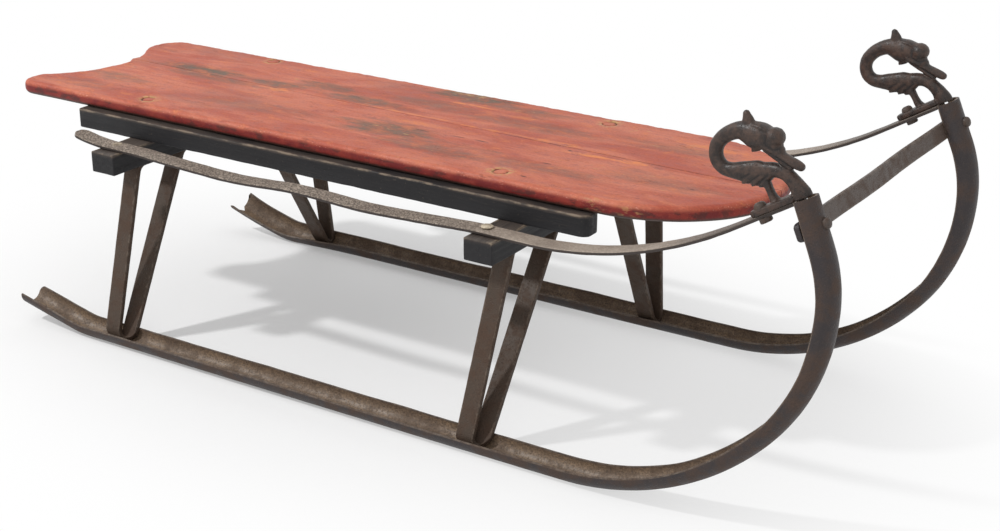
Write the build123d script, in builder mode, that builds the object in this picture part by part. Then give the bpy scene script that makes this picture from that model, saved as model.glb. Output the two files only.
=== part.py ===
"""Child's sled: a boarded deck on black rails and beams, carried by iron legs on gutter runners.

Millimetres. X runs forward, Y to the sled's left, Z up from the floor. The origin lies on the
floor, midway between the deck's right rear lobe and the front of the runners' bends.
"""

import os
from math import atan2, cos, radians, sin, tan

from build123d import *

os.makedirs("parts", exist_ok=True)

# Overall sizes
overall_length = 930.0  # deck's right rear lobe to the front of the runners' bends
gauge = 330.0  # runner to runner, centre lines on the floor
beam_spacing = 435.0
front_beam_setback = 318.0  # front beam's centre behind the front of the bends
beam_top = 200.5
horn_rise = 91.4  # runners' top ends above the beams' tops

# Runners, bent from gutter section
runner_width = 27.0
runner_wall = 3.0
lip_rise = 1.5  # lips above the trough's centre
runner_lean = 2.0  # degrees, tops leaning in
tail_overhang = 37.0  # behind the rear beam, where the tail starts to rise
tail_length = 72.0
tail_rise = 12.0  # degrees
tail_bend_radius = 90.0
RUNNER_BENDS = (  # radius along the sole, turn in degrees
    (246.0, 50.0),
    (184.0, 40.0),
    (128.0, 23.0),
)
torn_width = 15.0  # bite torn out of the left runner's tail
torn_depth = 11.0
torn_offset = 2.5  # bite's centre, out from the runner's centre
nick_radius = 5.5
nick_offset = -7.5

# Cross beams and side rails
beam_end = 7.0  # past the strap's outer edge
beam_width = 29.0
beam_height = 20.8
beam_edge = 1.5
rail_outer = 116.0  # centre plane to the rail's outer face
rail_width = 24.0
rail_height = 19.2
rail_rear_overhang = 83.0  # past the rear beam's centre
rail_front_overhang = 75.0  # past the front beam's centre
rail_nose_radius = 9.0
rail_edge = 1.2

# Leg irons, flat bar bent to a V with a flange under the beam at each end, each forged to its own leans
leg_width = 18.0
leg_thickness = 5.0
leg_flange = 26.0
leg_bend_radius = 7.0  # inside the bends under the beam
foot_bend_radius = 0.5  # inside the bend at the foot
leg_clearance = 0.6
LEGS = (  # name, beam it stands under, centre behind the beam's centre, outer and inner lean in degrees
    ("rear_leg_right", "rear_cross_beam", 5.0, 15.5, 31.7),
    ("rear_leg_left", "rear_cross_beam", 0.0, 6.6, 30.6),
    ("front_leg_right", "front_cross_beam", 6.0, 18.5, 37.0),
    ("front_leg_left", "front_cross_beam", 5.0, 4.8, 26.7),
)

# Deck of two boards
deck_length = 811.0
rear_skew = 20.0  # left rear lobe ahead of the right one
deck_width = 216.0
deck_thickness = 14.5
nose_radius = 140.0
nose_corner_radius = 80.0
tail_scoop_radius = 92.0
tail_scoop_depth = 33.0
tail_lobe_radius = 16.0
deck_top_bevel = 2.2
deck_under_bevel = 4.5
joint_offset = 9.0  # joint's place at mid beam, left of the centre plane
joint_skew = -1.6  # degrees
joint_gap = 0.4

# Side straps, flat bar along the beam ends and up to the finials
strap_width = 19.0
strap_thickness = 3.2
strap_inset = 2.8  # strap's centre inboard of the runner's top end
strap_tail = 50.0  # behind the rear beam's centre
strap_tip_radius = 8.5
strap_sag = 6.0
strap_bend_radius = 352.0
strap_rise = 31.0  # degrees
strap_gap = 1.0  # clear of the runner's lips

# Front cross bar
bar_width = 15.0
bar_thickness = 5.0
bar_below_top = 23.0  # bar's centre below the runners' top ends, along the runner
bar_clearance = 0.5
bar_edge = 0.8

# Finial castings, outlines measured forward and up from the runner's top end
finial_thickness = 12.0
finial_bevel = 1.5
neck_radius = 5.9
neck_flats = 12
neck_bend_radius = 17.25
neck_centre = (-70.0, 21.5)
neck_root = 10.0  # straight stretch into the head and into the body
jaw_seat = (-36.0, 18.3)  # where the back meets the jaw
arch_crest = (-20.0, 13.0)
strut_top = (-43.5, -3.8)
strut_waist = (-41.3, -9.5)
scale_count = 3
scale_pitch = 8.0
scale_tip = 4.0  # first tip behind the strut
scale_length = 4.0  # tip back to root
scale_tip_height = -4.8
scale_root_height = -1.8
window_heel = (-41.0, 6.0)
window_crown = (-29.0, 5.4)
window_front = (-22.4, -3.0)
window_foot = (-30.0, -9.2)
window_radius = 1.6
head_thickness = 15.0
head_bevel = 1.8
snout_radius = 2.6
HEAD = (  # forward, up: crown, brow, snout, jaw, chin, throat
    (-69.5, 44.5),
    (-52.0, 48.0),
    (-42.0, 44.0),
    (-31.5, 28.5),
    (-14.5, 23.5),
    (-13.5, 17.0),
    (-21.5, 15.5),
    (-35.0, 19.5),
    (-49.0, 25.5),
    (-56.5, 21.5),
    (-61.0, 29.0),
    (-69.5, 32.5),
)
EAR = (
    (-66.5, 42.0),
    (-66.5, 54.0),
    (-62.5, 54.0),
    (-56.0, 45.0),
)
ear_thickness = 6.0
ear_bevel = 1.0
eye_radius = 6.8
eye_centre = (-38.5, 37.0)
pupil_radius = 4.6
pupil_height = 1.6
plate_length = 46.0
plate_width = 17.0
plate_thickness = 4.6
plate_end_radius = 6.8
plate_gap = 0.2  # clear of the strap
base_inset = 3.0  # base's front behind the runner's sole
seat_gap = 0.5  # clear of the runner's end

# Places that follow from the sizes
front_x = overall_length / 2
rear_x = -overall_length / 2
front_beam_x = front_x - front_beam_setback
rear_beam_x = front_beam_x - beam_spacing
mid_beam_x = (front_beam_x + rear_beam_x) / 2
rail_mid_x = mid_beam_x + (rail_front_overhang - rail_rear_overhang) / 2
beam_bottom = beam_top - beam_height
rail_top = beam_top + rail_height
runner_radius = runner_width / 2
trough_radius = runner_radius - runner_wall
lip_height = runner_radius + lip_rise


# Runners
runner_plane = Plane(
    origin=(0, -gauge / 2, 0),
    x_dir=(1, 0, 0),
    z_dir=(0, -cos(radians(runner_lean)), sin(radians(runner_lean))),
)
rise = radians(tail_rise)
kink_x = rear_beam_x - tail_overhang
tail_x = kink_x - tail_bend_radius * sin(rise) - tail_length * cos(rise)
tail_z = tail_bend_radius * (1 - cos(rise)) + tail_length * sin(rise)

# The bends end upright at the front of the sled before they lean back, which sets where they start
bend_reach = 0.0
bend_rise = 0.0
turned = 0.0
for bend_radius, turn in RUNNER_BENDS:
    end_turn = min(turned + turn, 90.0)
    bend_reach += bend_radius * (sin(radians(end_turn)) - sin(radians(min(turned, 90.0))))
    bend_rise += bend_radius * (cos(radians(turned)) - cos(radians(turned + turn)))
    turned += turn
bend_x = front_x - bend_reach
top_height = (beam_top + horn_rise) / cos(radians(runner_lean))
top_length = (top_height - bend_rise) / sin(radians(turned))

with BuildLine(runner_plane) as runner_path:
    tail_end = (tail_x, tail_z)
    tail_foot = (tail_x + tail_length * cos(rise), tail_z - tail_length * sin(rise))
    tail = Line(tail_end, tail_foot)
    kink = JernArc(tail @ 1, tail % 1, tail_bend_radius, tail_rise)
    stretch = Line(kink @ 1, (bend_x, 0))
    for bend_radius, turn in RUNNER_BENDS:
        stretch = JernArc(stretch @ 1, stretch % 1, bend_radius, turn)
    Line(stretch @ 1, stretch @ 1 + (stretch % 1) * top_length)

runner_start = Plane(
    origin=runner_path.line @ 0,
    x_dir=-runner_plane.z_dir,
    z_dir=runner_path.line % 0,
)
with BuildPart() as runner_right:
    with BuildSketch(runner_start):
        with BuildLine():
            Polyline(
                (-trough_radius, runner_radius),
                (-trough_radius, lip_height),
                (-runner_radius, lip_height),
                (-runner_radius, runner_radius),
            )
            ThreePointArc((-runner_radius, runner_radius), (0, 0), (runner_radius, runner_radius))
            Polyline(
                (runner_radius, runner_radius),
                (runner_radius, lip_height),
                (trough_radius, lip_height),
                (trough_radius, runner_radius),
            )
            ThreePointArc((trough_radius, runner_radius), (0, runner_wall), (-trough_radius, runner_radius))
        make_face()
    sweep(path=runner_path.line)
runner_right.part.label = "runner_right"
export_step(runner_right.part, "parts/runner_right.step")

# The left runner's tail is torn at its end, in a bite between its lips and a nick beside it
with BuildPart() as runner_left:
    mirror(runner_right.part, about=Plane.XZ)
    tail_plane = Plane(
        origin=(tail_x, gauge / 2, tail_z),
        x_dir=(cos(rise), 0, -sin(rise)),
        z_dir=(sin(rise), 0, cos(rise)),
    )
    with BuildSketch(tail_plane):
        with Locations((0, torn_offset)):
            Ellipse(torn_depth, torn_width / 2)
        with Locations((0, nick_offset)):
            Circle(nick_radius)
    extrude(amount=runner_width, both=True, mode=Mode.SUBTRACT)
runner_left.part.label = "runner_left"
export_step(runner_left.part, "parts/runner_left.step")


# Runner's top end, which carries the finial, the strap's end and the cross bar
top_end = runner_path.line @ 1
top_heading = Vector((runner_path.line % 1).X, 0, (runner_path.line % 1).Z).normalized()
top_back = Vector(-top_heading.Z, 0, top_heading.X)
lip_end = top_end + top_back * lip_height


# Cross beams, their ends standing out past the straps
strap_offset = -top_end.Y - strap_inset
beam_length = 2 * (strap_offset + strap_width / 2 + beam_end)
BEAMS = (  # name, place along the sled
    ("rear_cross_beam", rear_beam_x),
    ("front_cross_beam", front_beam_x),
)
for beam_name, beam_x in BEAMS:
    with BuildPart() as beam:
        with BuildSketch(Plane.XY.offset(beam_bottom)):
            with Locations((beam_x, 0)):
                Rectangle(beam_width, beam_length)
        extrude(amount=beam_height)
        chamfer(beam.edges(), beam_edge)
    beam.part.label = beam_name
    export_step(beam.part, f"parts/{beam_name}.step")


# Side rails
SIDES = (  # name, sign of Y
    ("right", -1),
    ("left", 1),
)
for side_name, side in SIDES:
    with BuildPart() as rail:
        with BuildSketch(Plane.XY.offset(beam_top)):
            with Locations((rail_mid_x, side * (rail_outer - rail_width / 2))):
                Rectangle(beam_spacing + rail_rear_overhang + rail_front_overhang, rail_width)
        extrude(amount=rail_height)
        front_edges = rail.edges().filter_by(Axis.Z).group_by(Axis.X)[-1]
        fillet(front_edges, rail_nose_radius)
        chamfer(rail.faces().group_by(Axis.Z)[-1].edges(), rail_edge)
        chamfer(rail.faces().group_by(Axis.Z)[0].edges(), rail_edge)
    rail.part.label = f"side_rail_{side_name}"
    export_step(rail.part, f"parts/side_rail_{side_name}.step")


# Leg irons: the foot's bend rests in the trough, moved out where the inner arm would meet the inner lip
foot_radius = foot_bend_radius + leg_thickness
wide_bend_radius = leg_bend_radius + leg_thickness
foot_drop = trough_radius - leg_clearance - foot_radius  # foot's centre below the trough's
foot_low = runner_radius - foot_drop
flange_under = beam_bottom - leg_thickness
FACES = (  # depth into the bar, bend radii under the beam outside, at the foot and under the beam inside
    (0.0, (wide_bend_radius, foot_radius, leg_bend_radius)),
    (leg_thickness, (leg_bend_radius, foot_bend_radius, wide_bend_radius)),
)


def arm(foot, bend_side, lean, depth, z):
    """Arm's distance from the centre plane at height z, depth in from its outer face."""
    foot_y, foot_z = foot
    return foot_y + (bend_side * (foot_radius - depth) - (z - foot_z) * sin(lean)) / cos(lean)


for leg_name, beam_name, setback, outer_lean, inner_lean in LEGS:
    outer = radians(outer_lean)
    inner = radians(inner_lean)
    side = 1 if leg_name.endswith("left") else -1
    leg_x = dict(BEAMS)[beam_name] - setback
    lip_side = (foot_radius + (lip_height + leg_clearance - foot_low) * sin(inner)) / cos(inner)
    foot_shift = max(0.0, lip_side + leg_clearance - trough_radius)
    foot = (gauge / 2 + foot_shift, runner_radius - (foot_drop**2 - foot_shift**2) ** 0.5)
    arm_spread = (1 / cos(inner) + 1 / cos(outer)) / (tan(inner) - tan(outer))
    outer_flange_end = arm(foot, 1, outer, 0, beam_bottom) - leg_flange
    inner_flange_end = arm(foot, -1, inner, 0, flange_under) - leg_flange
    with BuildPart() as leg:
        with BuildSketch(Plane((leg_x, 0, 0), x_dir=(0, side, 0), z_dir=(side, 0, 0))):
            with BuildLine():
                for depth, radii in FACES:
                    corner_z = foot[1] - (foot_radius - depth) * arm_spread
                    FilletPolyline(
                        (outer_flange_end, beam_bottom - depth),
                        (arm(foot, 1, outer, depth, beam_bottom - depth), beam_bottom - depth),
                        (arm(foot, 1, outer, depth, corner_z), corner_z),
                        (arm(foot, -1, inner, depth, flange_under + depth), flange_under + depth),
                        (inner_flange_end, flange_under + depth),
                        radius=radii,
                    )
                Line((outer_flange_end, beam_bottom), (outer_flange_end, flange_under))
                Line((inner_flange_end, flange_under), (inner_flange_end, beam_bottom))
            make_face()
        extrude(amount=leg_width / 2, both=True)
    leg.part.label = leg_name
    export_step(leg.part, f"parts/{leg_name}.step")


# Deck boards
half_deck = deck_width / 2
nose_x = rear_x + deck_length
nose_centre_x = nose_x - nose_radius
rear_turn = atan2(rear_skew, deck_width)
rounded_off = tail_lobe_radius * (1 / cos(rear_turn) + tan(rear_turn) - 1)  # lobe's tip inside its corner
rear_edge_x = rear_x - rounded_off
corner_y = half_deck - nose_corner_radius
corner_reach = nose_radius - nose_corner_radius
corner_x = nose_centre_x + (corner_reach**2 - corner_y**2) ** 0.5
blend_x = nose_centre_x + nose_radius * (corner_x - nose_centre_x) / corner_reach
blend_y = nose_radius * corner_y / corner_reach
joint_plane = Plane(
    origin=(mid_beam_x, joint_offset, 0),
    x_dir=(cos(radians(joint_skew)), sin(radians(joint_skew)), 0),
    z_dir=(-sin(radians(joint_skew)), cos(radians(joint_skew)), 0),
)
BOARDS = (  # name, side of the joint that is kept, shift of the cut from the joint
    ("deck_board_right", Keep.BOTTOM, -joint_gap / 2),
    ("deck_board_left", Keep.TOP, joint_gap / 2),
)
for board_name, kept, shift in BOARDS:
    with BuildPart() as board:
        with BuildSketch(Plane.XY.offset(rail_top)) as outline:
            with BuildLine():
                Polyline(
                    (corner_x, -half_deck),
                    (rear_edge_x, -half_deck),
                    (rear_edge_x + rear_skew, half_deck),
                    (corner_x, half_deck),
                )
                RadiusArc((corner_x, half_deck), (blend_x, blend_y), nose_corner_radius)
                ThreePointArc((blend_x, blend_y), (nose_x, 0), (blend_x, -blend_y))
                RadiusArc((blend_x, -blend_y), (corner_x, -half_deck), nose_corner_radius)
            make_face()
            with Locations((rear_edge_x + rear_skew / 2 + tail_scoop_depth - tail_scoop_radius, 0)):
                Circle(tail_scoop_radius, mode=Mode.SUBTRACT)
            fillet(outline.vertices().sort_by(Axis.X)[:4], tail_lobe_radius)
        extrude(amount=deck_thickness)
        chamfer(board.faces().sort_by(Axis.Z)[-1].edges(), deck_top_bevel)
        chamfer(board.faces().sort_by(Axis.Z)[0].edges(), deck_under_bevel)
        split(bisect_by=joint_plane.offset(shift), keep=kept)
    board.part.label = board_name
    export_step(board.part, f"parts/{board_name}.step")


# Side straps: flat over the beams, sagging between them, then swept up to the ends of the runner's lips
climb = radians(strap_rise)
strap_along = Vector(cos(climb), 0, sin(climb))
strap_up = Vector(-sin(climb), 0, cos(climb))
strap_top = beam_top + strap_thickness
sag_start = rear_beam_x + beam_width / 2
sag_end = front_beam_x - beam_width / 2
strap_end = Vector(lip_end.X, 0, lip_end.Z) - strap_along * strap_gap
sweep_end_z = strap_top + strap_bend_radius * (1 - cos(climb))
sweep_end_x = strap_end.X - (strap_end.Z - sweep_end_z) / tan(climb)
sweep_x = sweep_end_x - strap_bend_radius * sin(climb)
for side_name, side in SIDES:
    with BuildPart() as strap:
        with BuildSketch(Plane((0, side * strap_offset, 0), x_dir=(1, 0, 0), z_dir=(0, -1, 0))):
            with BuildLine():
                Line((rear_beam_x - strap_tail, strap_top), (sag_start, strap_top))
                sag_mid = ((sag_start + sag_end) / 2, strap_top - strap_sag)
                ThreePointArc((sag_start, strap_top), sag_mid, (sag_end, strap_top))
                level = Line((sag_end, strap_top), (sweep_x, strap_top))
                swept = JernArc(level @ 1, level % 1, strap_bend_radius, strap_rise)
                Line(swept @ 1, (strap_end.X, strap_end.Z))
                offset(amount=strap_thickness, side=Side.RIGHT)
            make_face()
        extrude(amount=strap_width / 2, both=True)
        tail_edges = strap.edges().filter_by(Axis.Z).group_by(Axis.X)[0]
        fillet(tail_edges, strap_tip_radius)
    strap.part.label = f"side_strap_{side_name}"
    export_step(strap.part, f"parts/side_strap_{side_name}.step")


# Front cross bar, lying across the backs of both runners
bar_place = lip_end - top_heading * bar_below_top + top_back * (bar_thickness / 2 + bar_clearance)
bar_reach = gauge / 2 - bar_place.Z * tan(radians(runner_lean)) + runner_radius
with BuildPart() as front_cross_bar:
    with BuildSketch(Plane((bar_place.X, 0, bar_place.Z), x_dir=top_back, z_dir=(0, 1, 0))):
        Rectangle(bar_thickness, bar_width)
    extrude(amount=bar_reach, both=True)
    chamfer(front_cross_bar.edges(), bar_edge)
front_cross_bar.part.label = "front_cross_bar"
export_step(front_cross_bar.part, "parts/front_cross_bar.step")


# Finial castings: a coiled neck with a beast's head, its foot plate bolted to the strap
finial_plane = Plane(origin=top_end, x_dir=(1, 0, 0), z_dir=(0, -1, 0))
plate_plane = Plane(
    origin=(strap_end.X, top_end.Y, strap_end.Z),
    x_dir=strap_along,
    z_dir=strap_up,
)
plate_front = strap_end - top_end
base_front = top_back * base_inset + top_heading * seat_gap
base_back = top_back * lip_height + top_heading * seat_gap
plate_mid = plate_front - strap_along * plate_length / 2 + strap_up * plate_thickness / 2
neck_low = (neck_centre[0], neck_centre[1] - neck_bend_radius - neck_radius)
neck_high = (neck_centre[0], neck_centre[1] - neck_bend_radius + neck_radius)
neck_nape = (neck_centre[0] + neck_root, neck_centre[1] + neck_bend_radius)

with BuildPart() as finial_head:
    with BuildSketch(finial_plane) as head:
        with BuildLine():
            Polyline(HEAD, close=True)
        make_face()
        fillet(head.vertices().group_by(Axis.X)[-2:], snout_radius)
        with Locations(eye_centre):
            Circle(eye_radius)
    extrude(amount=head_thickness / 2, both=True)
    chamfer(finial_head.faces().filter_by(Axis.Y).edges(), head_bevel)
    with BuildSketch(finial_plane):
        with Locations(eye_centre):
            Circle(pupil_radius)
    extrude(amount=head_thickness / 2 + pupil_height, both=True)

with BuildPart() as finial_ear:
    with BuildSketch(finial_plane):
        with BuildLine():
            Polyline(EAR, close=True)
        make_face()
    extrude(amount=ear_thickness / 2, both=True)
    chamfer(finial_ear.faces().filter_by(Axis.Y).edges(), ear_bevel)

with BuildPart() as finial_right:
    # Arched body with scales along its belly, its strut and its base on the runner's end
    with BuildSketch(finial_plane):
        with BuildLine():
            Line(neck_high, jaw_seat)
            ThreePointArc(jaw_seat, arch_crest, (base_front.X, base_front.Z))
            Polyline(
                (base_front.X, base_front.Z),
                (base_back.X, base_back.Z),
                (plate_front.X, plate_front.Z + plate_thickness / 2),
                (plate_mid.X, plate_mid.Z),
            )
            ThreePointArc((plate_mid.X, plate_mid.Z), strut_waist, strut_top)
            belly = strut_top
            for scale in range(scale_count):
                tip_x = strut_top[0] - scale_tip - scale * scale_pitch
                root = (tip_x - scale_length, scale_root_height)
                Polyline(belly, (tip_x, scale_tip_height), root)
                belly = root
            Polyline(belly, neck_low, neck_high)
        make_face()
        with BuildSketch(mode=Mode.SUBTRACT) as window:
            with BuildLine():
                ThreePointArc(window_heel, window_crown, window_front)
                Polyline(window_front, window_foot, window_heel)
            make_face()
            fillet(window.vertices(), window_radius)
    extrude(amount=finial_thickness / 2, both=True)
    chamfer(finial_right.faces().filter_by(Axis.Y).edges(), finial_bevel)

    # Neck, a nearly round bar coiled back over the body
    with BuildLine(finial_plane) as neck_path:
        nape = Line(neck_nape, (neck_centre[0], neck_nape[1]))
        coil = JernArc(nape @ 1, nape % 1, neck_bend_radius, 180)
        Line(coil @ 1, coil @ 1 + (coil % 1) * neck_root)
    with BuildSketch(Plane(neck_path.line @ 0, z_dir=neck_path.line % 0)):
        RegularPolygon(neck_radius, neck_flats)
    sweep(path=neck_path.line)

    # Head and ear
    add(finial_head.part)
    add(finial_ear.part)

    # Foot plate on the strap
    with BuildSketch(plate_plane.offset(plate_gap)) as plate:
        with Locations((-plate_length / 2, 0)):
            Rectangle(plate_length, plate_width)
        fillet(plate.vertices().group_by(Axis.X)[0], plate_end_radius)
    extrude(amount=plate_thickness)
finial_right.part.label = "finial_right"
export_step(finial_right.part, "parts/finial_right.step")

with BuildPart() as finial_left:
    mirror(finial_right.part, about=Plane.XZ)
finial_left.part.label = "finial_left"
export_step(finial_left.part, "parts/finial_left.step")
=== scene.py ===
"""Child's sled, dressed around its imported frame: worn boards, black timber, rusty iron, castings."""

from math import atan2, cos, degrees, pi, radians, sin, sqrt, tan

import bmesh
import bpy
import numpy as np
from bpy.props import FloatProperty, FloatVectorProperty, IntProperty, PointerProperty
from bpy.types import NodeSocket, Operator, Panel, PropertyGroup
from mathutils import Matrix, Vector, geometry, noise


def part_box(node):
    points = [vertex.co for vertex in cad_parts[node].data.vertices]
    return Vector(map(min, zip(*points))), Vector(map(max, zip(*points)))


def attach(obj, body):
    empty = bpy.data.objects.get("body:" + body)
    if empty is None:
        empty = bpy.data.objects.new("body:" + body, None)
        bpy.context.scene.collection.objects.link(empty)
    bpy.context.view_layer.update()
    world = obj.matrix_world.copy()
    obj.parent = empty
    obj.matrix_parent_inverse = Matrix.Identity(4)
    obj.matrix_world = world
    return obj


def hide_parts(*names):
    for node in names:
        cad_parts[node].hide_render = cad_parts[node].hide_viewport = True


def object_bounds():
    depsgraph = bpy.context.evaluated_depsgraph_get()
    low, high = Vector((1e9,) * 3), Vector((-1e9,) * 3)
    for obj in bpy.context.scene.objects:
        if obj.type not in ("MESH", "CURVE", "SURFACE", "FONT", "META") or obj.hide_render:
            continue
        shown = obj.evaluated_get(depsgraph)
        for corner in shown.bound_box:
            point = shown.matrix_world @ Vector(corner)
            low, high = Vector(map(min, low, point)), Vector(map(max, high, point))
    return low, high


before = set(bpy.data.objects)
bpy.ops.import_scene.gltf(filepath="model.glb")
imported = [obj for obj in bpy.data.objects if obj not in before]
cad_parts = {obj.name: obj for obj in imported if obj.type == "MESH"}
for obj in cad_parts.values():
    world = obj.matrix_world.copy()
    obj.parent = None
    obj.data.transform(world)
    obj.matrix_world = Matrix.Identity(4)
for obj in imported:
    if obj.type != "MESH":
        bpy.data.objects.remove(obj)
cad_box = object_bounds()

bl_info = {
    "name": "Child's Sled",
    "version": (1, 0, 0),
    "blender": (4, 5, 0),
    "location": "3D View > Sidebar > Sled",
    "description": "Dresses the sled's packed frame in worn paint, black timber and rusty iron",
    "category": "Object",
}

MM = 0.001
SIDES = (("right", -1), ("left", 1))  # name, sign of Y
ENDS = ("rear", "front")

# Tables, in millimetres and degrees

# Unevenness of surfaces: size, waves to the metre, seed
UNEVEN = {
    "rail": (0.35, 60.0, 11.0),
    "beam": (0.3, 60.0, 21.0),
    "runner": (0.12, 90.0, 31.0),
    "leg": (0.12, 120.0, 41.0),
    "strap": (0.2, 110.0, 51.0),
    "bar": (0.06, 60.0, 57.0),
    "fastener": (0.1, 400.0, 71.0),
}
CORNERS = {"leg": 0.9, "strap": 0.7, "bar": 1.4}  # round of the irons' long corners

# Rolled irons: patches and pits to the metre, rubbed edges, dark pits, gloss, fine grain
IRONS = {
    "runner_iron": (38.0, 420.0, 0.25, 0.40, 0.42, 0.5),
    "leg_iron": (60.0, 520.0, 0.20, 0.35, 0.22, 0.5),
    "bar_iron": (40.0, 500.0, 0.20, 0.15, 0.42, 0.2),
    "bolt_iron": (120.0, 600.0, 0.30, 0.40, 0.42, 0.5),
    "rivet_iron_painted_highlight": (90.0, 600.0, 0.30, 0.40, 0.42, 0.5),
}

# Patches on the boards: x, y, half length, half width, strength
STAINS = (
    (-322, 26, 62, 14, 0.95),
    (-298, 8, 60, 9, 0.60),
    (-231, 25, 36, 12, 0.80),
    (-176, 44, 40, 13, 0.70),
    (-118, 24, 52, 12, 0.80),
    (-28, 92, 60, 14, 0.95),
    (42, 80, 45, 12, 0.60),
    (-40, -38, 56, 20, 0.85),
    (30, -62, 60, 18, 0.60),
    (-55, 50, 60, 14, 0.45),
    (60, 40, 70, 16, 0.45),
    (150, -62, 60, 14, 0.45),
    (220, 52, 60, 14, 0.40),
    (240, -40, 60, 18, 0.35),
    (-190, -50, 70, 14, 0.30),
    (-378, -42, 40, 12, 0.55),
    (-395, -78, 45, 14, 0.30),
)
BARE_PATCHES = (
    (157, -6, 26, 5, 0.9),
    (200, -5, 22, 5, 0.8),
    (110, 8, 30, 5, 0.6),
    (65, 10, 60, 3, 0.5),
    (-55, 13, 60, 2.5, 0.6),
    (-25, -10, 40, 5, 0.4),
    (-20, 70, 30, 3, 0.8),
    (-60, 104, 40, 5, 0.7),
    (30, 60, 40, 5, 0.4),
    (-215, 8, 20, 6, 0.8),
    (250, 70, 40, 8, 0.4),
)
EDGE_CHIPS = (
    (269, -106, 24, 5, 0.45),
    (222, -108, 14, 4, 0.35),
    (323, -84, 4, 4, 1.0),
    (-36, 100, 30, 4, 0.5),
)
MARKS = (  # short cracks and dents
    (-9.6, -26.7, 10, 0.9, 0.9),
    (30.3, -25.2, 9, 0.9, 0.8),
    (54, -24.2, 8, 1.4, 0.9),
    (139, -4.5, 3.4, 1.8, 1.0),
    (141, -47.6, 5, 1.2, 0.9),
    (142.4, -89.9, 5, 1.5, 0.9),
    (281.5, -42, 3.4, 1.5, 0.9),
)
# Plugs over the screws that hold the boards: x, y, turn of the gap in the dark ring
PLUGS = ((-300, -88, 30), (-292, 95, 200), (118, -88.5, 80), (127, 89.5, 160))

# Runner bends along the sole: radius, turn
RUNNER_BENDS = ((246, 50), (184, 40), (128, 23))

# Leg irons: end, side, leans of the outer and inner arm, feet of both arms ahead
LEGS = (
    ("rear", "right", 15.5, 31.1, 0, 14),
    ("rear", "left", 6.6, 30.0, 3, 0),
    ("front", "right", 18.5, 36.4, -7, 5),
    ("front", "left", 4.8, 26.1, 0, -4.5),
)

# How the straps are out of true: shift inwards, then rows of x and rise
STRAP_BENDS = {
    "right": (
        2.6,
        (
            (-312, 0.9), (-280, 0.5), (-250, 0.7), (-228, 0.1), (-180, 0.0), (-140, 0.2), (-104, 2.4), (-72, 4.7),
            (-39, 4.3), (-12, 2.6), (15, 0.8), (60, 0.2), (97, 0.2), (130, 0.8), (150, 0.6), (190, 0.0),
        ),
    ),
    "left": (0.0, ((0, 0), (1, 0))),
}

# Limbs of the casting: forward and up from the runner's end, half height, half thickness
LIMBS = (
    (  # neck, coiled back over itself
        (-60, 38, 7.4, 6.6),
        (-66, 37.6, 7, 6.4),
        (-71.5, 35.9, 6.5, 6.1),
        (-77, 33, 6.1, 5.9),
        (-82.2, 28.6, 5.9, 5.8),
        (-86, 22.8, 5.8, 5.8),
        (-87, 16, 5.8, 5.8),
        (-84.6, 9.4, 5.8, 5.8),
        (-79.2, 5.4, 5.8, 5.8),
        (-72, 4.7, 6.3, 5.8),
        (-64.5, 5.3, 7.7, 5.7),
        (-57, 6, 9, 5.6),
        (-50, 7, 9.6, 5.6),
        (-44.5, 8.6, 8.4, 5.6),
        (-38.5, 11.5, 6.1, 5.7),
        (-32, 11.8, 5.6, 5.8),
        (-26.5, 10.1, 5.5, 5.9),
        (-21.5, 6.8, 5.6, 6),
        (-17, 2.4, 6.6, 6.2),
        (-14, -2, 8.2, 6.4),
        (-12.6, -5, 8.6, 6.5),
    ),
    (  # strut from the belly to the foot plate
        (-44.5, 2.5, 4.6, 4.6),
        (-41.4, -1.5, 3.2, 4.4),
        (-38.9, -5.2, 2.9, 4.4),
        (-36, -9.4, 3.4, 4.6),
        (-32.5, -13, 4.6, 5),
    ),
    (  # skull
        (-66, 37.2, 7.2, 6.4),
        (-61, 36.6, 9, 7.4),
        (-55.5, 35.6, 10.4, 8.2),
        (-49.5, 35.4, 9.9, 8.5),
        (-44, 33.9, 8.9, 8.2),
        (-38.5, 30.4, 7.6, 7.2),
        (-34, 27, 4.6, 6),
    ),
    (  # snout
        (-38, 26.4, 4, 6.2),
        (-30.5, 23.4, 3.1, 5.6),
        (-24, 21, 3.3, 5.3),
        (-18, 18.9, 3.5, 4.8),
        (-15.4, 18, 3.2, 4.2),
    ),
    (  # lower jaw
        (-45, 27.2, 2.6, 5.4),
        (-37, 22.8, 2.3, 5.1),
        (-29, 18.6, 1.9, 4.6),
        (-23.2, 15.8, 1.6, 4),
    ),
    ((-52, 27.5, 4, 4.6), (-54.8, 24.6, 2.4, 3.2), (-56, 23.2, 1.2, 2)),  # chin tuft
    ((-60.4, 42.5, 5.8, 4.6), (-61.8, 47.6, 4.4, 3.8), (-63, 51, 3, 2.8)),  # ear
    ((-38.6, 37, 7.5, 9), (-37.8, 37, 7.5, 9)),  # eyes
    ((-56, 44, 2.2, 5), (-49, 43.6, 2.3, 6.4), (-42.5, 41.6, 2, 6.4)),  # brow
    ((-48.5, 31.5, 1.5, 8.9), (-42.5, 28.6, 1.5, 8.4), (-36.5, 26.4, 1.3, 7)),  # fold under the eye
    ((-57.5, 0.5, 3.8, 4.6), (-61, -2.3, 1.7, 3.6), (-62.6, -3.5, 0.8, 2.4)),  # three scales
    ((-51, 0, 3.8, 4.6), (-53.4, -2.9, 1.6, 3.6), (-54.2, -4, 0.8, 2.4)),
    ((-45, 0, 3.8, 4.6), (-47, -2.6, 1.6, 3.6), (-47.8, -3.6, 0.8, 2.4)),
)
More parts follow.
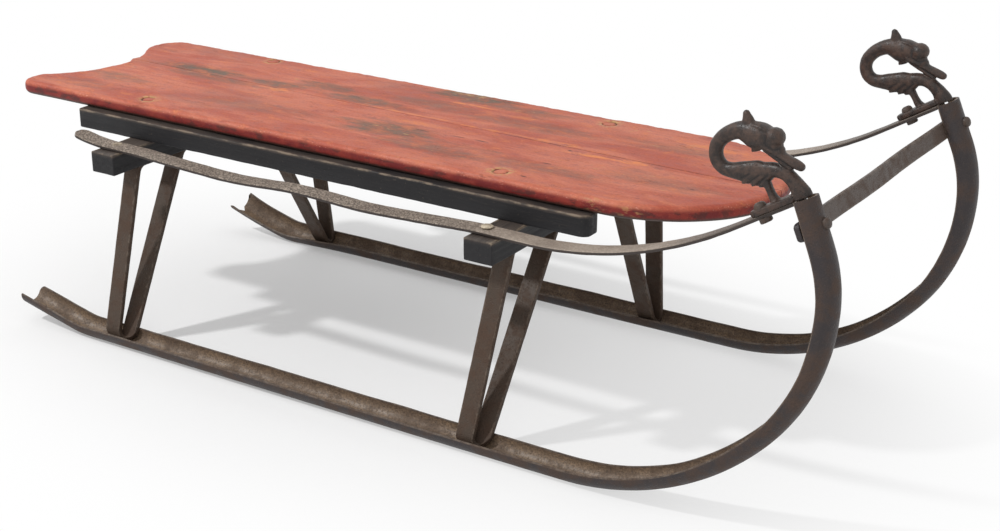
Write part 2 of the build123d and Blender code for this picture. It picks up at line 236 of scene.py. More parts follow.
# Lines cut into the casting's sides: from and to, forward and up
GROOVES = (
    ((-35, 23.9), (-23, 17.6)),
    ((-62.5, 1), (-55, 6.5)),
    ((-55, 0), (-46.5, 7.5)),
    ((-48.5, -1), (-39.5, 8.8)),
    ((-29.5, 31.5), (-36, 28.6)),
    ((-36, 28.6), (-42.6, 32)),
    ((-42.6, 32), (-43.4, 39.5)),
)
# Foot plate of the casting: distance back from its front end, half width
PLATE = ((2, 8.0), (13, 8.4), (26, 8.6), (34, 8.2), (37.5, 6.6), (39.5, 4.4))
PLATE_HALF = 3.0  # half thickness
PLATE_SUNK = 0.6  # lost again where the plate is cut off flat on the strap
# How the castings stand: side, sign of Y, turn of the tail inwards, shift inwards
CASTINGS = (("right", -1, 3.0, 2.0), ("left", 1, 0.0, 0.0))

# Round head: shares of its radius and height, from the rim up
DOME = ((1.0, 0.0), (0.95, 0.45), (0.8, 0.78), (0.5, 0.99), (0.0, 1.0))
# Head that stands off the strap on its shank: radius, height
RAISED_HEAD = ((3.0, -0.5), (3.0, 0.9), (5.5, 1.1), (5.6, 1.7), (4.6, 2.5), (2.5, 2.9), (0.3, 3.0))


# Settings


def painted(red, green, blue):
    """Linear colour of a swatch given as it looks on a screen, 0 to 255 each."""
    linear = [(v / 255 / 12.92) if v < 11 else ((v / 255 + 0.055) / 1.055) ** 2.4 for v in (red, green, blue)]
    return (*linear, 1.0)


def length(name, description, millimetres):
    """A length property, its default in millimetres."""
    default = millimetres * MM
    return FloatProperty(name=name, description=description, default=default, unit="LENGTH", precision=4)


def angle(name, description, turn):
    """An angle property, its default in degrees."""
    return FloatProperty(name=name, description=description, default=radians(turn), subtype="ANGLE")


def swatch(name, description, *screen):
    """A colour property, its default as it looks on a screen."""
    return FloatVectorProperty(
        name=name, description=description, default=painted(*screen), subtype="COLOR", size=4, min=0, max=1
    )


def fraction(name, description, default):
    """A property from 0 to 1."""
    return FloatProperty(name=name, description=description, default=default, subtype="FACTOR", min=0, max=1)


def power(name, description, watts):
    """A lamp's power."""
    return FloatProperty(name=name, description=description, default=watts, unit="POWER")


def part(group, name, description):
    """A group of settings."""
    return PointerProperty(type=group, name=name, description=description)


def place_at(name, description, *place):
    """A place property in the sled's frame, in metres."""
    return FloatVectorProperty(
        name=name, description=description, default=place, subtype="TRANSLATION", unit="LENGTH"
    )


class DeckSettings(PropertyGroup):
    """Sizes and colours of the two boards."""

    nose_radius: length("Nose radius", "Round of the deck's front end", 100)
    corner_radius: length("Corner radius", "Wider round from the nose into the sides", 130)
    scoop_radius: length("Scoop radius", "Round cut out of the rear end", 92)
    scoop_depth: length("Scoop depth", "Depth of the rear cut", 33)
    lobe_radius: length("Lobe radius", "Round of the right rear lobe's corners", 16)
    far_lobe_radius: length("Left lobe radius", "Round of the left rear lobe's worn corners", 28)
    rear_skew: length("Rear skew", "Left rear lobe ahead of the right one", 20)
    top_round: length("Top round", "Worn round of the top edges", 5.2)
    under_round: length("Under round", "Round of the bottom edges", 6)
    joint_round: length("Joint round", "Round of the edges along the joint", 0.8)
    joint_offset: length("Joint offset", "Joint from the centre plane at mid length", 9)
    joint_skew: angle("Joint skew", "Turn of the joint from the sled's length", -1.6)
    joint_gap: length("Joint gap", "Gap between the boards", 0.4)
    joint_dark: fraction("Joint dirt", "How dark the joint's line is", 0.75)
    plug_radius: length("Plug radius", "Round plugs over the screws", 6.6)
    paint: swatch("Paint", "Red paint", 172, 81, 60)
    faded: swatch("Faded paint", "Paint where the sun bleached it", 196, 112, 86)
    streak: swatch("Streaks", "Light streaks along the grain", 212, 128, 84)
    deep: swatch("Deep red", "Paint kept dark", 138, 48, 38)
    orange: swatch("Orange", "Bare, orange-looking wood", 228, 140, 82)
    haze: swatch("Haze", "Thin grey film", 150, 94, 80)
    stain: swatch("Stains", "Grey stains", 80, 73, 58)
    chip: swatch("Chips", "Bare wood in chips", 196, 160, 104)
    pale: swatch("Pale specks", "Specks rubbed through at the edges", 214, 146, 124)
    # Edges: red paint darkened as painted shade, for sides that face away from the light above
    edge: swatch("Edges", "Paint on the edges", 112, 28, 28)
    crack: swatch("Cracks", "Dirt in cracks", 62, 34, 30)
    # Underside: unpainted wood; on the lower round of the edges the same dark colour is painted shade
    under: swatch("Underside", "Unpainted underside", 74, 58, 48)


class TimberSettings(PropertyGroup):
    """Sizes and colours of the rails and beams."""

    rail_nose: length("Rail nose", "Round of the rails' front corners", 9)
    rail_heel: length("Rail heel", "Round of the rails' rear corners", 2.5)
    corner_round: length("Corner round", "Worn round of the long corners", 1.1)
    black: swatch("Black", "Black paint", 31, 30, 32)
    scuffed: swatch("Scuffed", "Rubbed paint on the top faces", 82, 72, 65)
    worn: swatch("Worn", "Bare wood along the corners", 138, 122, 104)


class IronSettings(PropertyGroup):
    """Sizes and colours of runners, legs, straps and bar."""

    gauge: length("Gauge", "Runner to runner on the floor", 330)
    lean: angle("Lean", "Runners' tops leaning in", 2)
    runner_width: length("Runner width", "Width of the gutter section", 27)
    runner_wall: length("Runner wall", "Thickness of the sole", 2.8)
    lip_wall: length("Lip wall", "Thickness of the lips", 1.9)
    lip_rise: length("Lip rise", "Lips above the trough's centre", 1.5)
    lip_wave: length("Lip wave", "How far the lips are out of true", 0.7)
    tail_overhang: length("Tail overhang", "Behind the rear beam, where the tail starts to rise", 37)
    tail_length: length("Tail length", "Straight run of the tail", 72)
    tail_rise: angle("Tail rise", "Slope of the tail", 12)
    tail_bend: length("Tail bend", "Radius at the foot of the tail", 90)
    tail_hollow: length("Tail hollow", "Worn out of the right tail's end", 3)
    tail_lip: length("Tail lip", "Worn off the right tail's inner lip", 6)
    bite_depth: length("Bite depth", "Piece torn off the left tail beside its hook", 7)
    bite_corner: length("Bite corner", "Corner worn off the left tail's outer lip", 4)
    nick_width: length("Nick width", "Width of the nick in the torn edge", 8)
    nick_depth: length("Nick depth", "Depth of the nick", 5.5)
    nick_offset: length("Nick offset", "Nick out from the runner's centre", -6)
    cut_length: length("Cut length", "Part of the tails that follows the worn or torn end", 40)
    tail_twist: angle("Tail twist", "Left tail turned in about its length", 24)
    twist_length: length("Twist length", "Part of the left runner that is twisted", 200)
    tail_lift: length("Tail lift", "Left tail's end bent further up", 9)
    lift_length: length("Lift length", "Part of the left tail that is bent further up", 100)
    side_turn: angle("Side turn", "Both gutters turned to the sled's right", 6)
    horn_rise: length("Horn rise", "Runners' ends above the beams' tops", 91.4)
    leg_thickness: length("Leg thickness", "Thickness of the leg bars", 5)
    leg_flange: length("Leg flange", "Length of the flanges under the beams", 26)
    leg_bend: length("Leg bend", "Inside radius under the beams", 7)
    foot_bend: length("Foot bend", "Inside radius at the foot", 1.5)
    strap_width: length("Strap width", "Width of the straps", 19)
    strap_thickness: length("Strap thickness", "Thickness of the straps", 3.2)
    strap_sag: length("Strap sag", "Sag between the beams", 6)
    strap_bend: length("Strap bend", "Radius of the upward sweep", 352)
    strap_rise: angle("Strap rise", "Slope of the straps' front ends", 31)
    strap_tip: length("Strap tip", "Round of the rear ends", 8.5)
    tip_length: length("Tip length", "Part of the straps' rear ends that is bent up", 44)
    tip_lift: length("Tip lift", "Rear ends of the straps above the beams", 6.2)
    bar_width: length("Bar width", "Width of the cross bar", 15)
    bar_thickness: length("Bar thickness", "Thickness of the cross bar", 5)
    bar_tip: length("Bar tip", "Round of the cross bar's ends", 5)
    bar_wave: length("Bar wave", "How far the cross bar is out of true", 1.3)
    dark: swatch("Dark iron", "Outsides of the runners", 44, 37, 38)
    trough: swatch("Trough", "Rusty insides of the runners", 136, 114, 92)
    rust: swatch("Rust", "Brown rust", 76, 58, 47)
    leg: swatch("Leg iron", "Legs under their rust", 74, 62, 53)
    strap: swatch("Strap faces", "Rubbed, pitted faces", 168, 154, 140)
    bar: swatch("Cross bar", "Smooth brown bar", 76, 64, 57)
    side: swatch("Strap sides", "Dark sides of the straps", 56, 47, 43)
    # Rivet heads: rubbed iron, lightened to cream as a painted highlight of their lit tops
    rivet: swatch("Rivets", "Rubbed rivet heads", 200, 186, 162)
    pit: swatch("Pits", "Dark pits", 58, 48, 42)
    bolt: swatch("Bolts", "Bolt heads and nuts", 70, 60, 54)
    rubbed: swatch("Rubbed edges", "Iron rubbed bright along its edges", 150, 136, 122)


class FinialSettings(PropertyGroup):
    """Grain and colours of the castings."""

    voxel: length("Voxel", "Cell size that the castings are merged at", 0.7)
    smoothing: IntProperty(name="Smoothing", description="Passes over the merged casting", default=4)
    groove: length("Groove", "Depth of the lines on head and body", 0.55)
    cast: swatch("Cast iron", "Brown casting", 39, 30, 26)
    brown: swatch("Rusty skin", "Rusty skin of the casting", 76, 58, 49)
    low: swatch("Hollows", "Dirt in the casting's hollows", 26, 20, 19)


class StageSettings(PropertyGroup):
    """Camera, lamps and floor."""

    place: place_at("Camera place", "Camera in the sled's frame", 0.8953, -1.29156, 0.70666)
    azimuth: angle("Azimuth", "Camera's turn about the sled", 32.87)
    elevation: angle("Elevation", "Camera's look down", 21.40)
    roll: angle("Roll", "Camera's roll", 0.11)
    lens: FloatProperty(
        name="Lens", description="Focal length on a 36 mm sensor", default=62.02, unit="CAMERA"
    )
    aim: place_at("Aim", "Place that the lamps are aimed at", 0, 0, 0.1)
    key_place: place_at("Key place", "Place of the main lamp", -2.2, -2.0, 3.45)
    key_size: length("Key size", "Width of the main lamp", 250)
    key: power("Key", "Power of the main lamp", 100.0)
    fill_place: place_at("Fill place", "Place of the front lamp", 1.4, -2.2, 1.0)
    fill_size: length("Fill size", "Width of the front lamp", 1600)
    fill: power("Fill", "Power of the front lamp", 4.0)
    ambient: fraction("Ambient", "Level of the light from all round", 0.66)
    glow: fraction("Floor glow", "Share of plain white in the floor as seen", 0.28)
    # More plain white ahead of the sled's middle: painted light that lifts the floor's shadow there
    front_painted_light: fraction("Front glow", "The same share ahead of the sled's middle", 0.58)
    fade_start: length("Fade start", "Where the floor starts to go over into white", 420)
    fade_end: length("Fade end", "Where the floor has gone over into white", 760)
    floor: swatch("Floor", "Pale floor", 246, 246, 246)


class SledSettings(PropertyGroup):
    """All settings of the sled."""

    deck: part(DeckSettings, "Deck", "Sizes and colours of the two boards")
    timber: part(TimberSettings, "Timber", "Sizes and colours of the rails and beams")
    iron: part(IronSettings, "Iron", "Sizes and colours of runners, legs, straps and bar")
    finial: part(FinialSettings, "Finials", "Grain and colours of the castings")
    stage: part(StageSettings, "Stage", "Camera, lamps and floor")


# Shader nodes


class Nodes:
    """Short ways to add shader nodes to one tree; each gives an output socket."""

    def __init__(self, tree):
        self.tree = tree

    def fill(self, sockets, values):
        """Set or link sockets, found by number or label."""
        for key, value in values.items():
            if isinstance(value, NodeSocket):
                self.tree.links.new(value, sockets[key])
            elif value is not None:
                sockets[key].default_value = value

    def put(self, kind, *inputs, out=0, named=(), **fields):
        """Add a node, set its fields and fill its inputs, in order and by label."""
        made = self.tree.nodes.new("ShaderNode" + kind)
        for field, value in fields.items():
            setattr(made, field, value)
        self.fill(made.inputs, dict(enumerate(inputs)) | dict(named))
        return made.outputs[out]

    def use(self, group, **inputs):
        """Place a node group, made when it is first used; gives all its outputs."""
        made = self.tree.nodes.new("ShaderNodeGroup")
        made.node_tree = bpy.data.node_groups.get(group) or GROUPS[group](group)
        self.fill(made.inputs, inputs)
        return made.outputs

    def mix(self, factor, first, second, kind="MIX"):
        """Mix two colours."""
        other_types = [None] * 5
        return self.put("Mix", factor, *other_types, first, second, out=2, data_type="RGBA", blend_type=kind)

    def maths(self, operation, first, second=0.0, clamp=False):
        """One sum of two values."""
        return self.put("Math", first, second, operation=operation, use_clamp=clamp)

    def times(self, first, *others):
        """Product of values."""
        for other in others:
            first = self.maths("MULTIPLY", first, other)
        return first

    def summed(self, *rows):
        """Sum of values, each times its weight."""
        total = 0.0
        for value, weight in rows:
            total = self.maths("ADD", total, self.times(value, weight))
        return total

    def unsteady(self, value, uneven, size):
        """Value shifted up and down by noise."""
        return self.maths("ADD", value, self.times(self.maths("SUBTRACT", uneven, 0.5), size))

    def step(self, value, low, high, to_low=0.0, to_high=1.0):
        """Smooth step of a value from low to high."""
        return self.put("MapRange", value, low, high, to_low, to_high, interpolation_type="SMOOTHSTEP")

    def vector(self, operation, *places, out=0):
        """One sum of places."""
        return self.put("VectorMath", *places, operation=operation, out=out)

    def scaled(self, place, *scales):
        """A place scaled by axis."""
        return self.vector("MULTIPLY", place, scales)

    def axis(self, place, number):
        """One coordinate of a place."""
        return self.put("SeparateXYZ", place, out=number)

    def clouds(self, place, scale, detail=4.0, rough=0.55, distortion=0.0, along=1.0):
        """Noise at a place, drawn out along X where that share is below 1."""
        if along != 1.0:
            place = self.scaled(place, along, 1, 1)
        named = {"Scale": scale, "Detail": detail, "Roughness": rough, "Distortion": distortion}
        return self.put("TexNoise", place, named=named)

    def specks(self, place, scale, threshold, along=1.0):
        """Specks at a place, drawn out in the same way."""
        if along != 1.0:
            place = self.scaled(place, along, 1, 1)
        return self.use("Specks", Vector=place, Scale=scale, Threshold=threshold)["Mask"]

    def value(self, name):
        """Value painted on the mesh's points."""
        return self.put("Attribute", out=2, attribute_name=name)

    def grained(self, colour, grain, share):
        """Colour made lighter and darker by noise."""
        return self.mix(share, colour, self.put("CombineXYZ", grain, grain, grain), "OVERLAY")

    def covered(self, colour, *layers):
        """Colour with layers over it: mask, tint."""
        for mask, tint in layers:
            colour = self.mix(mask, colour, tint)
        return colour

    def tinted(self, colour, *layers):
        """Colour with layers over it: value, where the layer starts, where it is full, share at most, tint."""
        for value, start, full, most, tint in layers:
            colour = self.mix(self.step(value, start, full, 0.0, most), colour, tint)
        return colour


def new_group(name, outputs, **inputs):
    """Empty node group for a place and further inputs: its nodes, given sockets and result sockets."""
    tree = bpy.data.node_groups.new(name, "ShaderNodeTree")
    for label, default in {"Vector": (0, 0, 0), **inputs}.items():
        kind = "NodeSocketFloat" if isinstance(default, float) else "NodeSocketVector"
        tree.interface.new_socket(label, in_out="INPUT", socket_type=kind).default_value = default
    for label in outputs:
        tree.interface.new_socket(label, in_out="OUTPUT", socket_type="NodeSocketFloat")
    given = tree.nodes.new("NodeGroupInput").outputs
    return Nodes(tree), given, tree.nodes.new("NodeGroupOutput").inputs


def grain_group(name):
    """Wood grain along X: soft streaks, thin cracks that follow them, and blotches."""
    n, given, result = new_group(name, ("Streak", "Crack", "Blotch"), Along=5.0, Across=150.0)
    stretch = n.put("CombineXYZ", given["Along"], given["Across"], given["Across"])
    place = n.vector("MULTIPLY", given["Vector"], stretch)
    thread = n.clouds(n.scaled(place, 1.3, 0.55, 0.55), 1.0, 3.0, 0.6, 0.4)
    line = n.step(n.maths("ABSOLUTE", n.maths("SUBTRACT", thread, 0.5)), 0.0, 0.012, 1.0, 0.0)
    gate = n.step(n.clouds(n.scaled(place, 0.8, 0.12, 0.12), 1.7, 3.0), 0.5, 0.62)
    streak = n.clouds(place, 1.0, 6.0, 0.62, 0.25)
    blotch = n.clouds(n.scaled(place, 0.9, 0.1, 0.1), 1.0, 5.0, 0.6, 0.6)
    n.fill(result, {"Streak": streak, "Crack": n.times(line, gate), "Blotch": blotch})
    return n.tree


def stain_group(name):
    """One long ragged stain about a centre."""
    centre, reach = (0, 0, 0), (0.05, 0.01, 1)
    n, given, result = new_group(name, ("Mask",), Centre=centre, Reach=reach, Ragged=60.0)
    away = n.vector("SUBTRACT", given["Vector"], given["Centre"])
    away = n.vector("DIVIDE", away, given["Reach"])
    away = n.vector("LENGTH", n.scaled(away, 1, 1, 0), out=1)
    uneven = n.clouds(given["Vector"], given["Ragged"], 6.0, 0.65, along=0.22)
    n.fill(result, {"Mask": n.step(n.unsteady(away, uneven, 2.6), 0.35, 1.15, 1.0, 0.0)})
    return n.tree


def speck_group(name):
    """Small ragged specks; a higher threshold leaves fewer of them."""
    n, given, result = new_group(name, ("Mask",), Scale=300.0, Threshold=0.62)
    value = n.clouds(given["Vector"], given["Scale"], 5.0, 0.6)
    full = n.maths("ADD", given["Threshold"], 0.05)
    n.fill(result, {"Mask": n.step(value, given["Threshold"], full)})
    return n.tree


def rust_group(name):
    """Rust on rolled iron: broad patches, small round pits and their relief."""
    n, given, result = new_group(name, ("Patch", "Pit", "Height"), Scale=40.0, Pits=420.0)
    patch = n.clouds(given["Vector"], given["Scale"], 9.0, 0.68, 0.3)
    warp = n.clouds(given["Vector"], n.times(given["Pits"], 0.7), 3.0)
    cell = n.put("TexVoronoi", given["Vector"], named={"Scale": given["Pits"]})
    pit = n.step(n.summed((cell, 1.0), (warp, 0.9)), 0.50, 0.86, 1.0, 0.0)
    height = n.summed((patch, 0.8), (pit, -0.6))
    n.fill(result, {"Patch": n.step(patch, 0.38, 0.66), "Pit": pit, "Height": height})
    return n.tree


def wear_group(name):
    """Uneven rubbing along edges, from the edge value painted on the mesh."""
    n, given, result = new_group(name, ("Mask",), Edge=0.0, Scale=60.0)
    uneven = n.clouds(given["Vector"], given["Scale"], 6.0, 0.66)
    n.fill(result, {"Mask": n.step(n.unsteady(given["Edge"], uneven, 2.4), 0.8, 1.25)})
    return n.tree


GROUPS = {
    "Grain": grain_group,
    "Stain": stain_group,
    "Specks": speck_group,
    "Rust": rust_group,
    "Edge wear": wear_group,
}


# Materials

PAINT_RELIEF = 0.35 * MM
TIMBER_RELIEF = 0.3 * MM
IRON_RELIEF = 0.35 * MM
STRAP_RELIEF = -0.4 * MM  # pits go in
CAST_RELIEF = 0.3 * MM
TOP_PAINT = (6.0 * MM, 1.6 * MM)  # below the deck's top, where its paint starts and is full
ARRIS = (0.8 * MM, 2.2 * MM)  # below the deck's top, where the rubbed arris starts and is full
BARE_AND_SHADED_BELOW = (5.0 * MM, 2.0 * MM)  # above the deck's bottom, where the dark band of bare wood starts and is full; on the lower round of the edges it is painted shade
JOINT_LINE = (0.3 * MM, 1.1 * MM)  # from the joint, where its dirt is full and ends
JOINT_FAINT = (0.02, 0.10)  # ahead, where the joint's faint rear half ends
BAR_ENDS = (0.138, 0.150)  # aside, where the cross bar's dark ends start and are full
STRAP_SMOOTH = (0.11, 0.17)  # ahead, where the straps turn smoother
STRAP_DARK = (0.30, 0.36)  # ahead, where the straps turn dark
CRACK_BLACK = (0.006, 0.006, 0.006, 1)  # cracks in the timber


def start_material(name):
    """New material: gives it, its nodes and the place on the sled."""
    material = bpy.data.materials.new(name)
    material.use_nodes = True
    n = Nodes(material.node_tree)
    return material, n, n.put("TexCoord", out=3)


def finish_material(material, colour, roughness, height, depth, specular):
    """Link colour, roughness and relief to the material's shader."""
    n = Nodes(material.node_tree)
    relief = n.put("Bump", named={"Strength": 1.0, "Distance": depth, "Height": height})
    values = {"Base Color": colour, "Roughness": roughness, "Normal": relief, "Specular IOR Level": specular}
    n.fill(n.tree.nodes["Principled BSDF"].inputs, values)
    return material


def patches(n, place, table, ragged, wider=1.0):
    """Strongest of a table of ragged patches at a place."""
    strongest = 0.0
    for x, y, half_length, half_width, strength in table:
        reach = (half_length * MM * wider, half_width * MM * wider, 1)
        mask = n.use("Stain", Vector=place, Centre=(x * MM, y * MM, 0), Reach=reach, Ragged=ragged)["Mask"]
        strongest = n.maths("MAXIMUM", strongest, n.times(mask, strength))
    return strongest


def joint_line(n, place, joint, mottle, darkest):
    """Broken line of dirt along the joint of the boards."""
    origin, normal = joint
    off = n.vector("DOT_PRODUCT", place, (*normal, 0), out=1)
    off = n.maths("ABSOLUTE", n.maths("SUBTRACT", off, float(origin @ normal)))
    return n.times(
        n.step(off, *JOINT_LINE, darkest, 0.0),
        n.step(n.axis(place, 0), *JOINT_FAINT, 0.35, 1.0),
        n.step(mottle, 0.62, 0.40, 0.3, 1.0),
    )


def red_paint(deck, joint, top, bottom):
    """Sun-bleached red paint on boards: mottled, stained, chipped at the edges, bare below, with painted shade on
    the edges and along their bottom.
    """
    material, n, place = start_material("red_paint")
    grain = n.use("Grain", Vector=place, Along=5.0, Across=110.0)["Streak"]
    fine = n.use("Grain", Vector=place, Along=26.0, Across=520.0)
    streak = fine["Streak"]
    drift = n.clouds(place, 26.0, 6.0, 0.62, 0.8, along=0.30)
    mottle = n.clouds(place, 90.0, 8.0, 0.72, 0.4, along=0.55)
    film = n.clouds(place, 17.0, 5.0, 0.6, 0.4, along=0.35)
    grit = n.clouds(place, 620.0, 4.0, 0.65, along=0.6)
    face = n.tinted(
        deck.paint,
        (drift, 0.36, 0.64, 1.0, deck.faded),
        (mottle, 0.52, 0.72, 0.65, deck.streak),
        (mottle, 0.47, 0.30, 0.65, deck.deep),
        (grain, 0.58, 0.74, 0.20, deck.streak),
    )
    face = n.tinted(
        n.grained(face, grit, 0.4),
        (streak, 0.58, 0.76, 0.30, deck.streak),
        (streak, 0.42, 0.26, 0.30, deck.deep),
        (film, 0.52, 0.70, 0.45, deck.haze),
    )

    bare = n.times(patches(n, place, BARE_PATCHES, 130.0), n.step(mottle, 0.36, 0.58))
    stains = n.times(
        patches(n, place, STAINS, 60.0, 1.2),
        n.step(streak, 0.40, 0.72, 1.0, 0.6),
        n.step(mottle, 0.66, 0.42, 0.35, 1.0),
    )
    flecked = n.maths("MAXIMUM", n.step(drift, 0.54, 0.68, 0.0, 0.6), n.times(stains, 0.8))
    flecks = n.times(n.specks(place, 260.0, 0.62, along=0.30), flecked)
    dots = n.times(n.specks(place, 300.0, 0.70, along=0.5), 0.7)
    cracks = n.maths("MAXIMUM", n.times(fine["Crack"], 0.55), patches(n, place, MARKS, 300.0))
    cracks = n.maths("MAXIMUM", cracks, joint_line(n, place, joint, mottle, deck.joint_dark))
    face = n.covered(
        face,
        (bare, deck.orange),
        (stains, deck.stain),
        (flecks, deck.chip),
        (dots, deck.crack),
        (cracks, deck.crack),
    )

    height = n.axis(place, 2)
    soot = n.times(n.specks(place, 130.0, 0.53, along=0.4), 0.6)
    # Sides of the boards: mottled between the edge colour and deep red; the edge colour holds painted shade
    rim = n.mix(n.step(mottle, 0.40, 0.64), deck.edge, deck.deep)
    on_top = n.step(height, *(top - below for below in TOP_PAINT))
    arris = n.times(on_top, n.step(height, *(top - below for below in ARRIS)))
    chips = n.specks(place, 820.0, 0.62, along=0.6)
    chips = n.maths("MULTIPLY", chips, n.maths("ADD", n.times(arris, 3.0), 0.15), clamp=True)
    flakes = n.step(n.clouds(place, 330.0, 5.0, 0.6, along=0.35), 0.50, 0.58)
    ring = n.step(n.clouds(place, 210.0), 0.40, 0.52, 0.25, 1.0)
    halo = n.step(n.clouds(place, 300.0), 0.40, 0.54)
    # Dark band along the bottom: bare wood underneath, and painted shade on the lower round of the edges
    below = n.step(height, *(bottom + above for above in BARE_AND_SHADED_BELOW))
    colour = n.covered(
        rim,
        (soot, deck.crack),
        (on_top, face),
        (n.times(chips, 0.75), deck.pale),
        (n.times(patches(n, place, EDGE_CHIPS, 160.0), flakes), deck.chip),
        (n.times(n.value("plug"), ring), deck.crack),
        (n.times(n.value("halo"), halo), deck.chip),
        (below, n.mix(grain, deck.under, deck.crack)),
    )
    roughness = n.step(mottle, 0.3, 0.7, 0.46, 0.66)
    relief = n.summed((streak, 0.4), (mottle, 0.6), (cracks, -0.8), (chips, -0.3))
    return finish_material(material, colour, roughness, relief, PAINT_RELIEF, 0.35)


def black_timber(timber, name, along_y):
    """Black painted timber, brown where the top is rubbed; the grain follows the piece."""
    material, n, along = start_material(name)
    if along_y:
        along = n.put("CombineXYZ", n.axis(along, 1), n.axis(along, 0), n.axis(along, 2))
    grain = n.use("Grain", Vector=along, Along=7.0, Across=240.0)
    fine = n.use("Grain", Vector=along, Along=30.0, Across=900.0)["Streak"]
    edge = n.times(n.value("edge"), n.value("top"))
    rubbed = n.use("Edge wear", Vector=n.scaled(along, 0.5, 1, 1), Edge=edge, Scale=110.0)["Mask"]
    scuff = n.times(
        n.value("top"), n.step(grain["Blotch"], 0.30, 0.58), n.step(fine, 0.30, 0.62, 0.35, 1.0)
    )
    scuff = n.maths("ADD", scuff, n.step(fine, 0.56, 0.80, 0.0, 0.35), clamp=True)
    colour = n.covered(
        timber.black,
        (scuff, timber.scuffed),
        (n.times(rubbed, 0.7), timber.worn),
        (n.times(n.specks(along, 520.0, 0.66), 0.25), timber.worn),
        (n.times(grain["Crack"], 0.7), CRACK_BLACK),
    )
    roughness = n.step(grain["Streak"], 0.3, 0.7, 0.46, 0.64)
    relief = n.summed((fine, 1.0), (grain["Crack"], -0.8))
    return finish_material(material, colour, roughness, relief, TIMBER_RELIEF, 0.3)


def rusty_iron(name, iron, base, inside=None, far_ends=None):
    """Rolled iron: rust in patches, dark pits, rubbed edges; a trough and far ends of their own colour."""
    patch_scale, pit_scale, rubbing, pitted, gloss, grainy = IRONS[name]
    material, n, place = start_material(name)
    rusted = n.use("Rust", Vector=place, Scale=patch_scale, Pits=pit_scale)
    colour = n.mix(n.times(rusted["Patch"], 0.8), base, iron.rust)
    if inside is not None:
        sand = n.step(n.clouds(place, 520.0, 5.0, 0.7), 0.40, 0.62, 0.5, 0.0)
        mottled = n.covered(inside, (n.times(rusted["Patch"], 0.6), iron.rust), (sand, iron.pit))
        colour = n.mix(n.value("trough"), colour, mottled)
    wear = n.use("Edge wear", Vector=place, Edge=n.value("edge"), Scale=150.0)["Mask"]
    colour = n.covered(colour, (n.times(rusted["Pit"], pitted), iron.pit), (n.times(wear, rubbing), iron.rubbed))
    if far_ends is not None:
        colour = n.mix(n.step(n.maths("ABSOLUTE", n.axis(place, 1)), *BAR_ENDS), colour, far_ends)
    colour = n.grained(colour, n.clouds(place, 1100.0), grainy)
    roughness = n.step(rusted["Patch"], 0.0, 1.0, 0.46, 0.7)
    return finish_material(material, colour, roughness, rusted["Height"], IRON_RELIEF, gloss)


def pitted_strap(iron):
    """Flat strap: a rubbed, finely pitted top face between dark sides."""
    material, n, place = start_material("strap_iron")
    rusted = n.use("Rust", Vector=place, Scale=30.0, Pits=620.0)
    ahead = n.axis(place, 0)
    pits = n.step(n.clouds(place, 600.0, 3.0, 0.6), 0.58, 0.42, 0.0, 0.75)
    pits = n.times(pits, n.step(ahead, *STRAP_SMOOTH, 1.0, 0.4))
    face = n.covered(
        iron.strap,
        (pits, iron.pit),
        (n.times(rusted["Patch"], 0.35), iron.rust),
        (n.step(ahead, *STRAP_DARK, 0.0, 0.75), iron.side),
    )
    colour = n.mix(n.value("top"), iron.side, face)
    return finish_material(material, colour, n.step(pits, 0.0, 1.0, 0.5, 0.75), pits, STRAP_RELIEF, 0.4)


def cast_iron(finial):
    """Brown casting: grainy skin, dirt in the hollows, a soft shine on what is rubbed."""
    material, n, place = start_material("cast_iron")
    rusted = n.use("Rust", Vector=place, Scale=120.0, Pits=700.0)
    colour = n.covered(
        finial.cast,
        (rusted["Patch"], finial.brown),
        (n.value("hollow"), finial.low),
        (n.times(rusted["Pit"], 0.4), finial.low),
    )
    roughness = n.step(rusted["Patch"], 0.0, 1.0, 0.40, 0.56)
    return finish_material(material, colour, roughness, rusted["Height"], CAST_RELIEF, 0.4)


# Mesh building

CORNER_STEPS = 4  # faces to a rounded corner of a bar
FACE_ROWS = ((0.12, 0.45), (0.35, 0.0), (0.65, 0.0), (0.88, 0.45))  # share across a bar's face, edge value
END_SHARES = np.array((0.0, 0.04, 0.12, 0.25, 0.45, 0.7, 1.0))  # sections over a rounded end
CAP_ROWS = ((1.0, 0.3), (0.8, 0.0))  # rings that close a bar's end: size, share of the edge value
CAP_LEAST = 0.3  # least size of the first of them
END_EDGE = (1.2, 0.8)  # a bar's end, in corner rounds, and its edge value
TIP_SHUT = 0.999  # a fully rounded tip keeps some width


def wander(points, scale, seed):
    """Smooth noise from -1 to 1 at each point."""
    shift = Vector((seed * 3.7, seed * 1.9, seed * 5.3))
    return np.array([noise.noise(Vector(p) * scale + shift) for p in points])


def uneven(kind, more=0.0):
    """Unevenness of one kind of piece, its seed moved on for one of several pieces."""
    size, scale, seed = UNEVEN[kind]
    return size * MM, scale, seed + more


def closed_mesh(name, points, faces):
    """New mesh with outward normals."""
    mesh = bpy.data.meshes.new(name)
    mesh.from_pydata([tuple(p) for p in points], [], faces)
    shell = bmesh.new()
    shell.from_mesh(mesh)
    bmesh.ops.recalc_face_normals(shell, faces=shell.faces)
    shell.to_mesh(mesh)
    shell.free()
    return mesh


def surface(mesh):
    """Places and normals of a mesh's points."""
    return np.array([v.co for v in mesh.vertices]), np.array([v.vector for v in mesh.vertex_normals])


